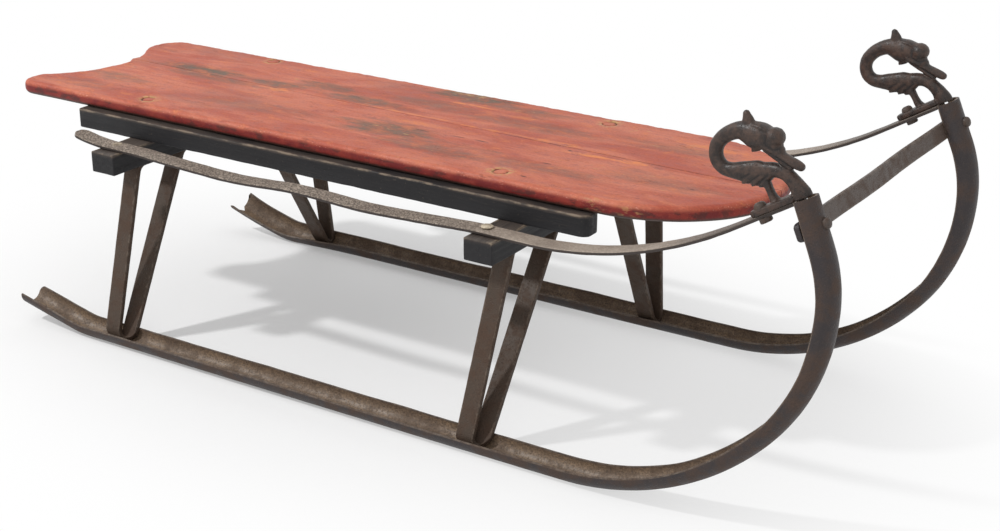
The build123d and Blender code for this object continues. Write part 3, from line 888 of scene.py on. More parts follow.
def built_mesh(name, points, faces, rough=None, sharp=35.0, **values):
    """Closed mesh with slight unevenness, soft shading and values on its points."""
    mesh = closed_mesh(name, points, faces)
    if rough:
        size, scale, seed = rough
        places, normals = surface(mesh)
        moved = places + normals * (wander(places, scale, seed) * size)[:, None]
        mesh.vertices.foreach_set("co", moved.ravel())
    for label, numbers in values.items():
        layer = mesh.attributes.new(label, "FLOAT", "POINT")
        layer.data.foreach_set("value", np.ascontiguousarray(numbers, dtype=np.float32).ravel())
    mesh.shade_smooth()
    mesh.set_sharp_from_angle(angle=radians(sharp))
    mesh.update()
    return mesh


def ring_faces(rings, count):
    """Quads between rings of points, with a face over each end."""
    faces = []
    for low in range(0, (rings - 1) * count, count):
        for k in range(count):
            following = (k + 1) % count
            faces.append((low + k, low + following, low + count + following, low + count + k))
    faces.append(tuple(range(count)))
    faces.append(tuple(range((rings - 1) * count, rings * count)))
    return faces


def add_piece(mesh, material, slot, *nodes):
    """Link a piece named like its mesh to the scene, on the sled's one body."""
    piece = bpy.data.objects.new(mesh.name, mesh)
    bpy.context.scene.collection.objects.link(piece)
    mesh.materials.append(material)
    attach(piece, "root")
    if nodes:
        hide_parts(*nodes)


class Route:
    """A flat line that a section is carried along: travel, place and heading at each point."""

    def __init__(self, points, headings):
        self.points = np.array(points)
        self.headings = np.array(headings)
        steps = np.hypot(*np.diff(self.points, axis=0).T)
        self.travel = np.concatenate(([0.0], np.cumsum(steps)))
        self.length = self.travel[-1]

    def at(self, travel):
        """Place ahead, place up and heading at a travel."""
        columns = (*self.points.T, self.headings)
        return [np.interp(travel, self.travel, column) for column in columns]


def walk(start, heading, moves, step=3 * MM):
    """Route of straight runs (length, 0) and tangent arcs (radius, turn)."""
    points = [np.array(start, float)]
    headings = [heading]
    for size, turn in moves:
        reach = abs(size * turn) if turn else size
        count = max(2, int(reach / step))
        here = points[-1]
        for k in range(1, count + 1):
            now = heading + turn * k / count
            if turn:
                side = np.sign(turn) * size
                offset = (side * (sin(now) - sin(heading)), side * (cos(heading) - cos(now)))
            else:
                offset = (cos(heading) * size * k / count, sin(heading) * size * k / count)
            points.append(here + offset)
            headings.append(now)
        heading += turn
    return Route(points, headings)


def rounded(corners, radii, step=1.5 * MM):
    """Route through corners, each rounded by its radius."""
    corners = [np.array(c, float) for c in corners]
    directions = [(b - a) / np.hypot(*(b - a)) for a, b in zip(corners, corners[1:])]
    turns = []
    for before, after in zip(directions, directions[1:]):
        turns.append(atan2(before[0] * after[1] - before[1] * after[0], before @ after))
    tangents = [0.0] + [r * tan(abs(t) / 2) for r, t in zip(radii, turns)] + [0.0]
    moves = []
    for i in range(len(directions)):
        run = np.hypot(*(corners[i + 1] - corners[i])) - tangents[i] - tangents[i + 1]
        moves.append((run, 0.0))
        if i < len(turns):
            moves.append((radii[i], turns[i]))
    return walk(corners[0], atan2(directions[0][1], directions[0][0]), moves, step)


def flat_section(width, thickness, corner):
    """Rounded rectangle: offsets aside and above, edge value and top value of each point."""
    rows = []
    inner = np.array((width / 2 - corner, thickness / 2 - corner))
    quarters = np.array(((1, 1), (-1, 1), (-1, -1), (1, -1)))
    for number, quarter in enumerate(quarters):
        for turn in np.radians(90 * number + np.linspace(0, 90, CORNER_STEPS + 1)):
            outward = corner * np.array((cos(turn), sin(turn)))
            rows.append((*(quarter * inner + outward), 1.0, float(quarter[1] > 0)))
        begin = quarter * inner + outward
        run = (quarters[(number + 1) % 4] - quarter) * inner
        for share, edge in FACE_ROWS:
            rows.append((*(begin + share * run), edge, float(number == 0)))
    return np.array(rows).T


def end_inset(distance, radius):
    """How far a rounded end has drawn in, at a distance from its tip."""
    reach = np.clip(radius - distance, 0.0, radius)
    return radius - np.sqrt(np.maximum(radius**2 - reach**2, 0.0))


def carried(route, travel, aside, above, origin, ahead, up, out):
    """Points of a section carried along a route, from arrays of travel and offsets."""
    first, second, heading = route.at(travel)
    first = first - np.sin(heading) * above
    second = second + np.cos(heading) * above
    ahead, up, out = (np.array(v, float) for v in (ahead, up, out))
    rows = first[..., None] * ahead + second[..., None] * up + aside[..., None] * out
    return np.array(origin, float) + rows


def flat_bar(name, route, size, corner, axes, rough, step=5 * MM, tips=(0.0, 0.0), wave=None, drift=None):
    """Flat bar of a width and thickness along a route, its ends rounded in plan by the tip radii."""
    half_width, half_thick = size[0] / 2, size[1] / 2
    aside, above, edge, top = flat_section(*size, corner)
    near, far = (max(corner, tip) for tip in tips)
    middle = np.arange(near + step, route.length - far - step / 2, step)
    travel = np.concatenate((END_SHARES * near, middle, route.length - END_SHARES[::-1] * far))
    to_end = route.length - travel
    narrow = np.maximum(end_inset(travel, near), end_inset(to_end, far))
    thin = np.maximum(end_inset(travel, corner), end_inset(to_end, corner))
    grids = {
        "aside": aside[None] * (1 - narrow / half_width * TIP_SHUT)[:, None],
        "above": above[None] * (1 - thin / half_thick)[:, None],
    }
    for label, shape in (("above", wave), ("aside", drift)):
        if shape is not None:
            grids[label] = grids[label] + shape(travel)[:, None]
    at_end = np.minimum(travel, to_end) < END_EDGE[0] * corner
    grids["edge"] = np.where(at_end[:, None], np.maximum(edge[None], END_EDGE[1]), edge[None])
    grids["top"] = np.repeat(top[None], len(travel), axis=0)
    grids["travel"] = np.repeat(travel[:, None], len(aside), axis=1)
    flat_width, flat_thick = (max(1 - corner / half, CAP_LEAST) for half in (half_width, half_thick))
    for shrink, level in CAP_ROWS:
        shares = {"aside": flat_width * shrink, "above": flat_thick * shrink, "edge": level, "top": level}
        for label, grid in grids.items():
            share = shares.get(label, 1.0)
            grids[label] = np.concatenate((grid[:1] * share, grid, grid[-1:] * share))
    points = carried(route, grids["travel"], grids["aside"], grids["above"], *axes)
    faces = ring_faces(*grids["travel"].shape)
    return built_mesh(name, points.reshape(-1, 3), faces, rough, edge=grids["edge"], top=grids["top"])


# Deck

ARC_STEP = 2 * MM
OUTLINE_STEP = 3 * MM
GRID_STEP = 5 * MM
UNDER_ROWS, TOP_ROWS = 6, 7  # points over the rounded edges
BOARD_SEED = 3.0
RIM_CLEAR = 2.2 * MM  # grid points keep this far from the top's rim
PLUG_CLEAR = 12 * MM  # and this far from a plug's centre
PLUG_RINGS = (0.35, 0.7, 0.86, 0.93, 1.0, 1.07, 1.14, 1.3, 1.55)  # rings of points, shares of the plug's radius
PLUG_GROOVE = (0.95 * MM, 1.3 * MM)  # half width and depth of the gap round a plug
PLUG_OPEN = (25, 30)  # half of the opening in that gap, and the turn over which it closes, in degrees
PLUG_SINK = 0.35 * MM  # plugs below the boards' tops
PLUG_HALO = (2.2 * MM, 2.0 * MM)  # chipped rim outside the gap: distance, half width
HALO_LEAST, HALO_TURN = 0.4, 100  # the rim's weakest share, and the turn to its strongest from the opening
DENTS = ((0.40, 55.0), (0.25, 190.0))  # unevenness of the edges' round: share, waves to the metre
WORN_SIDES = (0.35 * MM, 30.0)  # sides worn in: depth, waves to the metre
WORN_TOP = (0.25 * MM, 14.0)  # top worn down: depth, waves to the metre
JOINT_BLEND = (0.6 * MM, 8 * MM)  # from the joint, where its own round ends, and over what length


def deck_outline(deck, rear, front, half):
    """Outline of the whole deck, anticlockwise from above: a round nose and a skewed, scooped rear."""
    nose_x = front - deck.nose_radius
    corner_y = half - deck.corner_radius
    corner_x = nose_x - sqrt((deck.corner_radius - deck.nose_radius) ** 2 - corner_y**2)
    turn_in = degrees(atan2(-corner_y, nose_x - corner_x))
    lobe = deck.lobe_radius
    far_lobe = deck.far_lobe_radius
    skew = atan2(deck.rear_skew, 2 * half)
    edge = np.array((rear - lobe * (1 / cos(skew) + tan(skew) - 1), -half))
    along = np.array((sin(skew), cos(skew)))
    inside = np.array((cos(skew), -sin(skew)))
    scoop = np.array((edge[0] + deck.rear_skew / 2 + deck.scoop_depth - deck.scoop_radius, 0.0))
    right_out = (edge[0] + lobe * (1 + sin(skew)) / cos(skew), lobe - half)
    left_out = (edge[0] + (far_lobe + (2 * half - far_lobe) * sin(skew)) / cos(skew), half - far_lobe)
    inner_rounds = []
    for radius, way in ((far_lobe, 1), (lobe, -1)):
        start = edge + inside * radius - scoop
        middle = -(start @ along)
        reach = sqrt(middle**2 - start @ start + (deck.scoop_radius + radius) ** 2)
        inner_rounds.append(scoop + start + along * (middle + way * reach))
    left_in, right_in = inner_rounds
    left_turn, right_turn = (degrees(atan2(*(c - scoop)[::-1])) for c in (left_in, right_in))
    facing = 180 - degrees(skew)
    arcs = (  # centre, radius, from and to in degrees
        ((nose_x, 0), deck.nose_radius, -turn_in, turn_in),
        ((corner_x, corner_y), deck.corner_radius, turn_in, 90),
        (left_out, far_lobe, 90, facing),
        (left_in, far_lobe, facing, 180 + left_turn),
        (scoop, deck.scoop_radius, left_turn, right_turn),
        (right_in, lobe, 180 + right_turn, facing),
        (right_out, lobe, facing, 270),
        ((corner_x, -corner_y), deck.corner_radius, 270, 360 - turn_in),
    )
    points = []
    for (x, y), radius, begin, end in arcs:
        count = max(4, int(abs(radians(end - begin)) * radius / ARC_STEP))
        for turn in np.radians(np.linspace(begin, end, count)):
            points.append((x + radius * cos(turn), y + radius * sin(turn)))
    return np.array(points)


def kept_side(outline, origin, normal):
    """Part of a closed outline on the far side of a line from its normal."""
    away = (outline - origin) @ normal
    kept = []
    for i, point in enumerate(outline):
        following = (i + 1) % len(outline)
        if away[i] <= 0:
            kept.append(point)
        if (away[i] <= 0) != (away[following] <= 0):
            share = away[i] / (away[i] - away[following])
            kept.append(point + share * (outline[following] - point))
    return np.array(kept)


def evenly(outline, step):
    """Closed outline with points about a step apart, its own corners kept."""
    points = []
    for point, following in zip(outline, np.roll(outline, -1, axis=0)):
        run = following - point
        size = np.hypot(*run)
        if size < step * 0.2:
            continue
        count = max(1, int(round(size / step)))
        points += [point + run * k / count for k in range(count)]
    return np.array(points)


def within(outline, places):
    """True for the places inside a closed outline."""
    result = np.full(len(places), False)
    for (x0, y0), (x1, y1) in zip(outline, np.roll(outline, -1, axis=0)):
        crosses = (y0 > places[:, 1]) != (y1 > places[:, 1])
        with np.errstate(divide="ignore", invalid="ignore"):
            at = x0 + (places[:, 1] - y0) * (x1 - x0) / (y1 - y0)
        result ^= crosses & (places[:, 0] < at)
    return result


def bell(distance, width):
    """Smooth bump, 1 at no distance."""
    return np.exp(-((distance / width) ** 2))


def plug_depth(places, plug_radius):
    """Sink, ring value and halo value of the plugs at places on the deck's top."""
    sink, ring, halo = np.zeros((3, len(places)))
    for x, y, opening in PLUGS:
        away = places - np.array((x * MM, y * MM))
        radius = np.hypot(*away.T)
        turn = np.degrees(np.arctan2(away[:, 1], away[:, 0])) - opening
        shut = np.clip((np.abs((turn + 180) % 360 - 180) - PLUG_OPEN[0]) / PLUG_OPEN[1], 0, 1)
        groove = bell(radius - plug_radius, PLUG_GROOVE[0]) * shut
        sink += groove * PLUG_GROOVE[1] + np.where(radius < plug_radius, PLUG_SINK, 0.0)
        ring = np.maximum(ring, groove)
        rim = bell(radius - plug_radius - PLUG_HALO[0], PLUG_HALO[1])
        strong = np.cos(np.radians(turn - HALO_TURN)) ** 2
        halo = np.maximum(halo, rim * (HALO_LEAST + (1 - HALO_LEAST) * strong))
    return sink, ring, halo


def top_places(rim, plug_radius):
    """Places of the points inside a board's top: a grid, and rings about the plugs."""
    low, high = rim.min(axis=0), rim.max(axis=0)
    columns = np.arange(low[0], high[0], GRID_STEP)
    rows = np.arange(low[1], high[1], GRID_STEP)
    places = np.array([(x, y) for x in columns for y in rows])
    centres = np.array([(x, y) for x, y, _ in PLUGS]) * MM
    for centre in centres:
        places = places[((places - centre) ** 2).sum(axis=1) > PLUG_CLEAR**2]
    rings = []
    for centre in centres:
        for share in PLUG_RINGS:
            for turn in np.radians(np.arange(0, 360, 10)):
                rings.append(centre + plug_radius * share * np.array((cos(turn), sin(turn))))
    places = np.concatenate((places, rings))
    places = places[within(rim, places)]
    nearest = np.min([np.hypot(*(places - p).T) for p in rim], axis=0)
    return places[nearest > RIM_CLEAR]


def board_mesh(name, outline, deck, joint, bottom, top, seed):
    """One board: rounded edges all round, an uneven top with the plugs let into it."""
    origin, normal = joint
    outline = evenly(outline, OUTLINE_STEP)
    count = len(outline)
    tangent = np.roll(outline, -1, axis=0) - np.roll(outline, 1, axis=0)
    tangent /= np.hypot(*tangent.T)[:, None]
    inward = np.stack((-tangent[:, 1], tangent[:, 0]), axis=1)
    flat = np.column_stack((outline, np.zeros(count)))
    off_joint = np.abs((outline - origin) @ normal)
    off_joint = np.clip((off_joint - JOINT_BLEND[0]) / JOINT_BLEND[1], 0, 1)
    dents = 1 + sum(share * wander(flat, scale, seed + i) for i, (share, scale) in enumerate(DENTS))
    top_round = deck.joint_round + (deck.top_round * dents - deck.joint_round) * off_joint
    under_round = deck.joint_round + (deck.under_round - deck.joint_round) * off_joint
    pushed = off_joint * WORN_SIDES[0] * (1 + wander(flat, WORN_SIDES[1], seed + 2))
    rings = []
    for turn in np.radians(np.linspace(0, 90, UNDER_ROWS)):
        rings.append((under_round * (1 - sin(turn)), bottom + under_round * (1 - cos(turn))))
    for turn in np.radians(np.linspace(0, 90, TOP_ROWS)):
        rings.append((top_round * (1 - cos(turn)), top - top_round * (1 - sin(turn))))
    points = []
    for inset, level in rings:
        points.append(np.column_stack((outline + inward * (inset + pushed)[:, None], level)))
    points = np.concatenate(points)
    faces = ring_faces(len(rings), count)[:-1]

    rim = points[-count:, :2]
    inner = top_places(rim, deck.plug_radius)
    flat = np.concatenate((rim, inner))
    loop = [(k, (k + 1) % count) for k in range(count)]
    filled = geometry.delaunay_2d_cdt([Vector(p) for p in flat], loop, [], 1, 1e-7)
    source = [origins[0] for origins in filled[3]]
    start = len(points) - count
    faces += [tuple(start + source[k] for k in face) for face in filled[2]]
    sink, ring, halo = plug_depth(flat, deck.plug_radius)
    stretched = np.column_stack((flat * np.array((1.0, 3.0)), np.zeros(len(flat))))
    level = top - WORN_TOP[0] * (1 + wander(stretched, WORN_TOP[1], seed + 3)) - sink
    points = np.concatenate((points, np.column_stack((inner, level[count:]))))
    ring, halo = (np.concatenate((np.zeros(start), values)) for values in (ring, halo))
    return built_mesh(name, points, faces, sharp=40.0, plug=ring, halo=halo)


class SLED_OT_deck(Operator):
    """Two red boards with worn edges and a joint between them"""

    bl_idname = "sled.deck"
    bl_label = "Deck boards"

    def execute(self, context):
        deck = context.scene.sled.deck
        low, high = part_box("deck_board_right")
        far_low, far_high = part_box("deck_board_left")
        rear = min(low.x, far_low.x)
        front = max(high.x, far_high.x)
        middle = sum(corner.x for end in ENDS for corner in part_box(f"{end}_cross_beam")) / 4
        outline = evenly(deck_outline(deck, rear, front, -low.y), OUTLINE_STEP)
        normal = np.array((-sin(deck.joint_skew), cos(deck.joint_skew)))
        centre = np.array((middle, deck.joint_offset))
        material = red_paint(deck, (centre, normal), high.z, low.z)
        for side_name, side in SIDES:
            origin = centre + normal * side * deck.joint_gap / 2
            board = kept_side(outline, origin, -normal * side)
            name = f"red_board_{side_name}"
            mesh = board_mesh(name, board, deck, (origin, normal), low.z, high.z, BOARD_SEED + side)
            add_piece(mesh, material, "red_painted_wood", f"deck_board_{side_name}")
        return {"FINISHED"}


# Rails and beams


class SLED_OT_timber(Operator):
    """Black side rails and cross beams with rubbed corners"""

    bl_idname = "sled.timber"
    bl_label = "Rails and beams"

    def execute(self, context):
        timber = context.scene.sled.timber
        rail_black = black_timber(timber, "black_rails", False)
        beam_black = black_timber(timber, "black_beams", True)
        rail_tips = (timber.rail_heel, timber.rail_nose)
        for name, side in SIDES:
            rough = uneven("rail", side)
            self.add(f"black_rail_{name}", f"side_rail_{name}", 0, timber, rail_black, rough, rail_tips)
        for number, end in enumerate(ENDS):
            rough = uneven("beam", number)
            self.add(f"black_beam_{end}", f"{end}_cross_beam", 1, timber, beam_black, rough, (0.0, 0.0))
        return {"FINISHED"}

    def add(self, name, node, axis, timber, material, rough, tips):
        """One straight timber along X or Y, in the box of its node."""
        low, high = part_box(node)
        size = high - low
        origin = (low + high) / 2
        origin[axis] = 0
        ahead, out = (((1, 0, 0), (0, -1, 0)), ((0, 1, 0), (1, 0, 0)))[axis]
        mesh = flat_bar(
            name,
            walk((low[axis], 0), 0.0, ((size[axis], 0),)),
            (size[1 - axis], size.z),
            timber.corner_round,
            (origin, ahead, (0, 0, 1), out),
            rough,
            tips=tips,
        )
        add_piece(mesh, material, "black_wood", node)


# Runners

TAIL_STEPS = (48, 2)  # length of the tail that is meshed finely, and its step, in millimetres
RUNNER_STEP = 5 * MM
SOLE_ROWS = 33  # points over the half round
LIP_TURNS = np.radians((0, 45, 90, 135, 180))  # points over a lip
LIP_WAVES = 22.0  # waves of the lips to the metre
TURNED = 0.5  # share of the runner's length, from its upper end, over which the gutter turns
LIFT_POWER = 1.6  # how sharply the left tail is bent up
# Ends of the tails, in radii of the section: where a part starts, and over what it is full
TORN = (-0.97, 0.2)  # aside, the tear beside the left hook
LEFT_CORNER = (0.75, 0.35)  # above, the left outer lip's corner
RIGHT_LIP = (0.6, 0.5)  # above, the right inner lip


def runner_route(iron):
    """Sole of a runner from its tail to its upper end, in the runner's own leaning plane."""
    rear_low, rear_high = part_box("rear_cross_beam")
    kink = (rear_low.x + rear_high.x) / 2 - iron.tail_overhang
    back = walk((kink, 0), pi, ((iron.tail_bend, -iron.tail_rise), (iron.tail_length, 0)))
    reach = rise = turned = 0.0
    bends = []
    for radius, turn in RUNNER_BENDS:
        begin = radians(turned)
        end = radians(turned + turn)
        reach += radius * MM * (sin(min(end, pi / 2)) - sin(min(begin, pi / 2)))
        rise += radius * MM * (cos(begin) - cos(end))
        turned += turn
        bends.append((radius * MM, radians(turn)))
    top = (rear_high.z + iron.horn_rise) / cos(iron.lean)
    run = cad_box[1].x - reach - kink
    moves = [(run, 0.0), *bends, ((top - rise) / sin(radians(turned)), 0.0)]
    onward = walk((kink, 0), 0.0, moves)
    points = np.concatenate((back.points[::-1], onward.points[1:]))
    headings = np.concatenate((back.headings[::-1] - pi, onward.headings[1:]))
    return Route(points, headings)


def runner_section(iron):
    """Gutter section: offsets aside and above, edge value, trough value."""
    radius = iron.runner_width / 2
    half_lip = iron.lip_wall / 2
    lip = radius + iron.lip_rise - half_lip

    def lip_rows(side):
        """Points over one lip."""
        centre = side * (radius - half_lip)
        return [(centre + half_lip * cos(t), lip + half_lip * sin(t), 1.0, 0.3) for t in LIP_TURNS]

    rows = []
    for turn in np.radians(np.linspace(180, 360, SOLE_ROWS)):
        rows.append((radius * cos(turn), radius + radius * sin(turn), 0.0, 0.0))
    rows += lip_rows(1)
    for turn in np.radians(np.linspace(0, -180, SOLE_ROWS)):
        inner = radius - iron.lip_wall - (iron.runner_wall - iron.lip_wall) * sin(turn) ** 2
        rows.append((inner * cos(turn), radius + inner * sin(turn), 0.0, 1.0))
    rows += lip_rows(-1)
    return np.array(rows).T


def tail_cut(iron, aside, above, side):
    """How much of the tail's end is gone at each point of the section: torn on the left, worn on the right."""
    radius = iron.runner_width / 2

    def ramp(offset, start, over):
        """0 up to a start, 1 from there on."""
        return np.clip((offset / radius - start) / over, 0, 1)

    if side > 0:
        torn = ramp(aside, *TORN) * iron.bite_depth
        nick = np.sqrt(np.clip(1 - ((aside - iron.nick_offset) / (iron.nick_width / 2)) ** 2, 0, 1))
        corner = ramp(above, *LEFT_CORNER) ** 2 * np.where(aside > 0, iron.bite_corner, 0.0)
        return torn + nick * iron.nick_depth + corner
    inner_lip = ramp(above, *RIGHT_LIP) ** 2 * np.where(aside < 0, iron.tail_lip, 0.0)
    return inner_lip + iron.tail_hollow * (1 - (aside / radius) ** 2)


def bent_gutter(iron, route, travel, aside, above, edge, side):
    """Offsets aside and above of a gutter that is wavy at its lips, turned, and on the left bent at its tail."""
    wave = np.array([noise.noise(Vector((t * LIP_WAVES, side * 4.0, 1.5))) for t in travel])
    above = above[None] + edge[None] * wave[:, None] * iron.lip_wave
    from_front = np.clip((route.length - travel) / (TURNED * route.length), 0, 1)
    twist = side * iron.side_turn * from_front**2
    lift = np.zeros(len(travel))
    if side > 0:
        share = np.clip(1 - travel / iron.twist_length, 0, 1)
        twist = twist + iron.tail_twist * share**2 * (3 - 2 * share)
        lift = iron.tail_lift * np.clip(1 - travel / iron.lift_length, 0, 1) ** LIFT_POWER
    turn = twist[:, None]
    turned_aside = aside[None] * np.cos(turn) - above * np.sin(turn)
    turned_above = aside[None] * np.sin(turn) + above * np.cos(turn)
    return turned_aside, turned_above + lift[:, None]


class SLED_OT_runners(Operator):
    """Gutter-section runners with a raised tail and a tall front bend"""

    bl_idname = "sled.runners"
    bl_label = "Runners"

    def execute(self, context):
        iron = context.scene.sled.iron
        material = rusty_iron("runner_iron", iron, iron.dark, inside=iron.trough)
        route = runner_route(iron)
        aside, above, edge, trough = runner_section(iron)
        fine, step = TAIL_STEPS
        onward = np.arange(fine * MM, route.length, RUNNER_STEP)
        travel = np.concatenate((np.arange(0, fine, step) * MM, onward, [route.length]))
        count = len(travel)
        left_over = np.clip(1 - travel / iron.cut_length, 0, 1)
        for side_name, side in SIDES:
            cut = tail_cut(iron, aside, above, side)
            points = carried(
                route,
                travel[:, None] + cut[None] * left_over[:, None],
                *bent_gutter(iron, route, travel, aside, above, edge, side),
                (0, side * iron.gauge / 2, 0),
                (1, 0, 0),
                (0, -side * sin(iron.lean), cos(iron.lean)),
                (0, side * cos(iron.lean), sin(iron.lean)),
            )
            points[..., 2] = np.maximum(points[..., 2], 0.0)
            mesh = built_mesh(
                f"gutter_runner_{side_name}",
                points.reshape(-1, 3),
                ring_faces(count, len(aside)),
                uneven("runner", side),
                edge=np.repeat(edge[None], count, axis=0),
                trough=np.repeat(trough[None], count, axis=0),
            )
            add_piece(mesh, material, "runner_iron", f"runner_{side_name}")
        return {"FINISHED"}


# Legs

LEG_STEP = 3 * MM
LEG_TRUE = 30 * MM  # length at a leg's flanges that stays in line with the beam
LEG_FOLD = 9 * MM  # half the length at the foot over which one arm passes into the other


def leg_route(iron, leg_low, leg_high, outer, inner):
    """Middle line of a leg bar, outward from the centre plane and up, from the box that it fills."""
    thick = iron.leg_thickness
    foot_radius = iron.foot_bend + thick
    foot_z = leg_low.z + foot_radius
    foot_y = max(abs(leg_low.y), abs(leg_high.y)) - foot_radius
    beam = leg_high.z
    under = beam - thick
    half = thick / 2

    def outer_arm(depth, z):
        """Place of the outer arm at a depth in the bar and a height."""
        return foot_y + (foot_radius - depth - (z - foot_z) * sin(outer)) / cos(outer)

    def inner_arm(depth, z):
        """The same of the inner arm."""
        return foot_y - (foot_radius - depth + (z - foot_z) * sin(inner)) / cos(inner)

    spread_of_arms = (1 / cos(inner) + 1 / cos(outer)) / (tan(inner) - tan(outer))
    corner_z = foot_z - (foot_radius - half) * spread_of_arms
    corners = (
        (outer_arm(0, beam) - iron.leg_flange, beam - half),
        (outer_arm(half, beam - half), beam - half),
        (outer_arm(half, corner_z), corner_z),
        (inner_arm(half, under + half), under + half),
        (inner_arm(0, under) - iron.leg_flange, under + half),
    )
    bend = iron.leg_bend + half
    return rounded(corners, (bend, iron.foot_bend + half, bend))


def feet_drift(route, travel, outer_ahead, inner_ahead):
    """How far a leg bar stands ahead at each travel: nothing at the beam, most at the feet of its arms."""
    foot = route.travel[route.points[:, 1].argmin()]
    knots = (0.0, LEG_TRUE, foot - LEG_FOLD, foot + LEG_FOLD, route.length - LEG_TRUE, route.length)
    return np.interp(travel, knots, np.array((0, 0, outer_ahead, inner_ahead, 0, 0)) * MM)


class SLED_OT_legs(Operator):
    """Leg irons bent to a V, their flanges under the beams"""

    bl_idname = "sled.legs"
    bl_label = "Leg irons"

    def execute(self, context):
        iron = context.scene.sled.iron
        material = rusty_iron("leg_iron", iron, iron.leg)
        for number, (end, side_name, outer, inner, *ahead) in enumerate(LEGS):
            node = f"{end}_leg_{side_name}"
            low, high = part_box(node)
            route = leg_route(iron, low, high, radians(outer), radians(inner))
            mesh = flat_bar(
                f"iron_leg_{end}_{side_name}",
                route,
                (high.x - low.x, iron.leg_thickness),
                CORNERS["leg"] * MM,
                (((low.x + high.x) / 2, 0, 0), (0, dict(SIDES)[side_name], 0), (0, 0, 1), (1, 0, 0)),
                uneven("leg", number),
                step=LEG_STEP,
                drift=lambda travel: feet_drift(route, travel, *ahead),
            )
            add_piece(mesh, material, "leg_iron", node)
        return {"FINISHED"}


# Straps and cross bar

STRAP_STEP = 4 * MM
SAG_INSET = 6 * MM  # the straps start to sag this far inside the beams' facing sides
SAG_POWER = 1.5  # how gently the sag starts
BAR_WAVES = 34.0  # waves of the cross bar, radians to the metre


def smooth_rows(rows, per=6):
    """Rows of numbers with smooth steps put between them."""
    rows = np.array(rows, float)
    padded = np.concatenate((2 * rows[:1] - rows[1:2], rows, 2 * rows[-1:] - rows[-2:-1]))
    result = []
    for a, b, c, d in zip(padded, padded[1:], padded[2:], padded[3:]):
        square, cube = 2 * a - 5 * b + 4 * c - d, 3 * b - a - 3 * c + d
        for t in np.arange(per) / per:
            result.append(0.5 * (2 * b + (c - a) * t + square * t**2 + cube * t**3))
    result.append(rows[-1])
    return np.array(result)


def strap_route(iron, bumps):
    """Middle line of a strap from its rear tip to the runner's end, forward and up."""
    low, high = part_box("side_strap_right")
    rear_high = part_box("rear_cross_beam")[1]
    front_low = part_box("front_cross_beam")[0]
    half = iron.strap_thickness / 2
    level = rear_high.z + half
    rise = iron.strap_rise
    end_z = high.z - half * cos(rise)
    bend = iron.strap_bend + half
    sweep_z = level + bend * (1 - cos(rise))
    sweep_x = high.x - half * sin(rise) - (end_z - sweep_z) / tan(rise)
    start_x = sweep_x - bend * sin(rise)
    sag_from, sag_to = rear_high.x - SAG_INSET, front_low.x + SAG_INSET
    flat = []
    for share in np.linspace(0, 1, 10):
        flat.append((low.x + share * iron.tip_length, level + iron.tip_lift * (1 - share) ** 2))
    flat.append((sag_from, level))
    for share in np.linspace(0.02, 0.98, 60):
        sag = iron.strap_sag * sin(pi * share) ** SAG_POWER
        flat.append((sag_from + share * (sag_to - sag_from), level - sag))
    flat.append((sag_to, level))
    sweep = walk((start_x, level), 0.0, ((bend, rise), ((end_z - sweep_z) / sin(rise), 0.0)))
    points = np.concatenate((np.array(flat), sweep.points))
    bent = smooth_rows(bumps) * MM
    points[:, 1] += np.interp(points[:, 0], bent[:, 0], bent[:, 1])
    steps = np.diff(points, axis=0)
    slopes = np.arctan2(steps[:, 1], steps[:, 0])
    headings = np.concatenate((slopes[:1], (slopes[1:] + slopes[:-1]) / 2, slopes[-1:]))
    return Route(points, headings)


class SLED_OT_straps(Operator):
    """Pitted side straps and the wavy cross bar between the runners' tops"""

    bl_idname = "sled.straps"
    bl_label = "Straps and cross bar"

    def execute(self, context):
        iron = context.scene.sled.iron
        material = pitted_strap(iron)
        for side_name, side in SIDES:
            low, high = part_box(f"side_strap_{side_name}")
            inward, bumps = STRAP_BENDS[side_name]
            centre = (low.y + high.y) / 2 - side * inward * MM
            mesh = flat_bar(
                f"flat_strap_{side_name}",
                strap_route(iron, bumps),
                (iron.strap_width, iron.strap_thickness),
                CORNERS["strap"] * MM,
                ((0, centre, 0), (1, 0, 0), (0, 0, 1), (0, -1, 0)),
                uneven("strap", side),
                step=STRAP_STEP,
                tips=(iron.strap_tip, 0.0),
            )
            add_piece(mesh, material, "strap_iron", f"side_strap_{side_name}")
        low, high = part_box("front_cross_bar")
        run = high.y - low.y
        top = runner_route(iron).headings[-1]
        centre = (low + high) / 2
        mesh = flat_bar(
            "wavy_cross_bar",
            walk((low.y, 0), 0.0, ((run, 0),)),
            (iron.bar_width, iron.bar_thickness),
            CORNERS["bar"] * MM,
            ((centre.x, 0, centre.z), (0, 1, 0), (-sin(top), 0, cos(top)), (cos(top), 0, sin(top))),
            uneven("bar"),
            step=STRAP_STEP,
            tips=(iron.bar_tip, iron.bar_tip),
            wave=lambda travel: iron.bar_wave * np.sin(travel / run * pi) * np.sin(travel * BAR_WAVES),
        )
        bar_iron = rusty_iron("bar_iron", iron, iron.bar, far_ends=iron.dark)
        add_piece(mesh, bar_iron, "strap_iron", "front_cross_bar")
        return {"FINISHED"}


# Finials

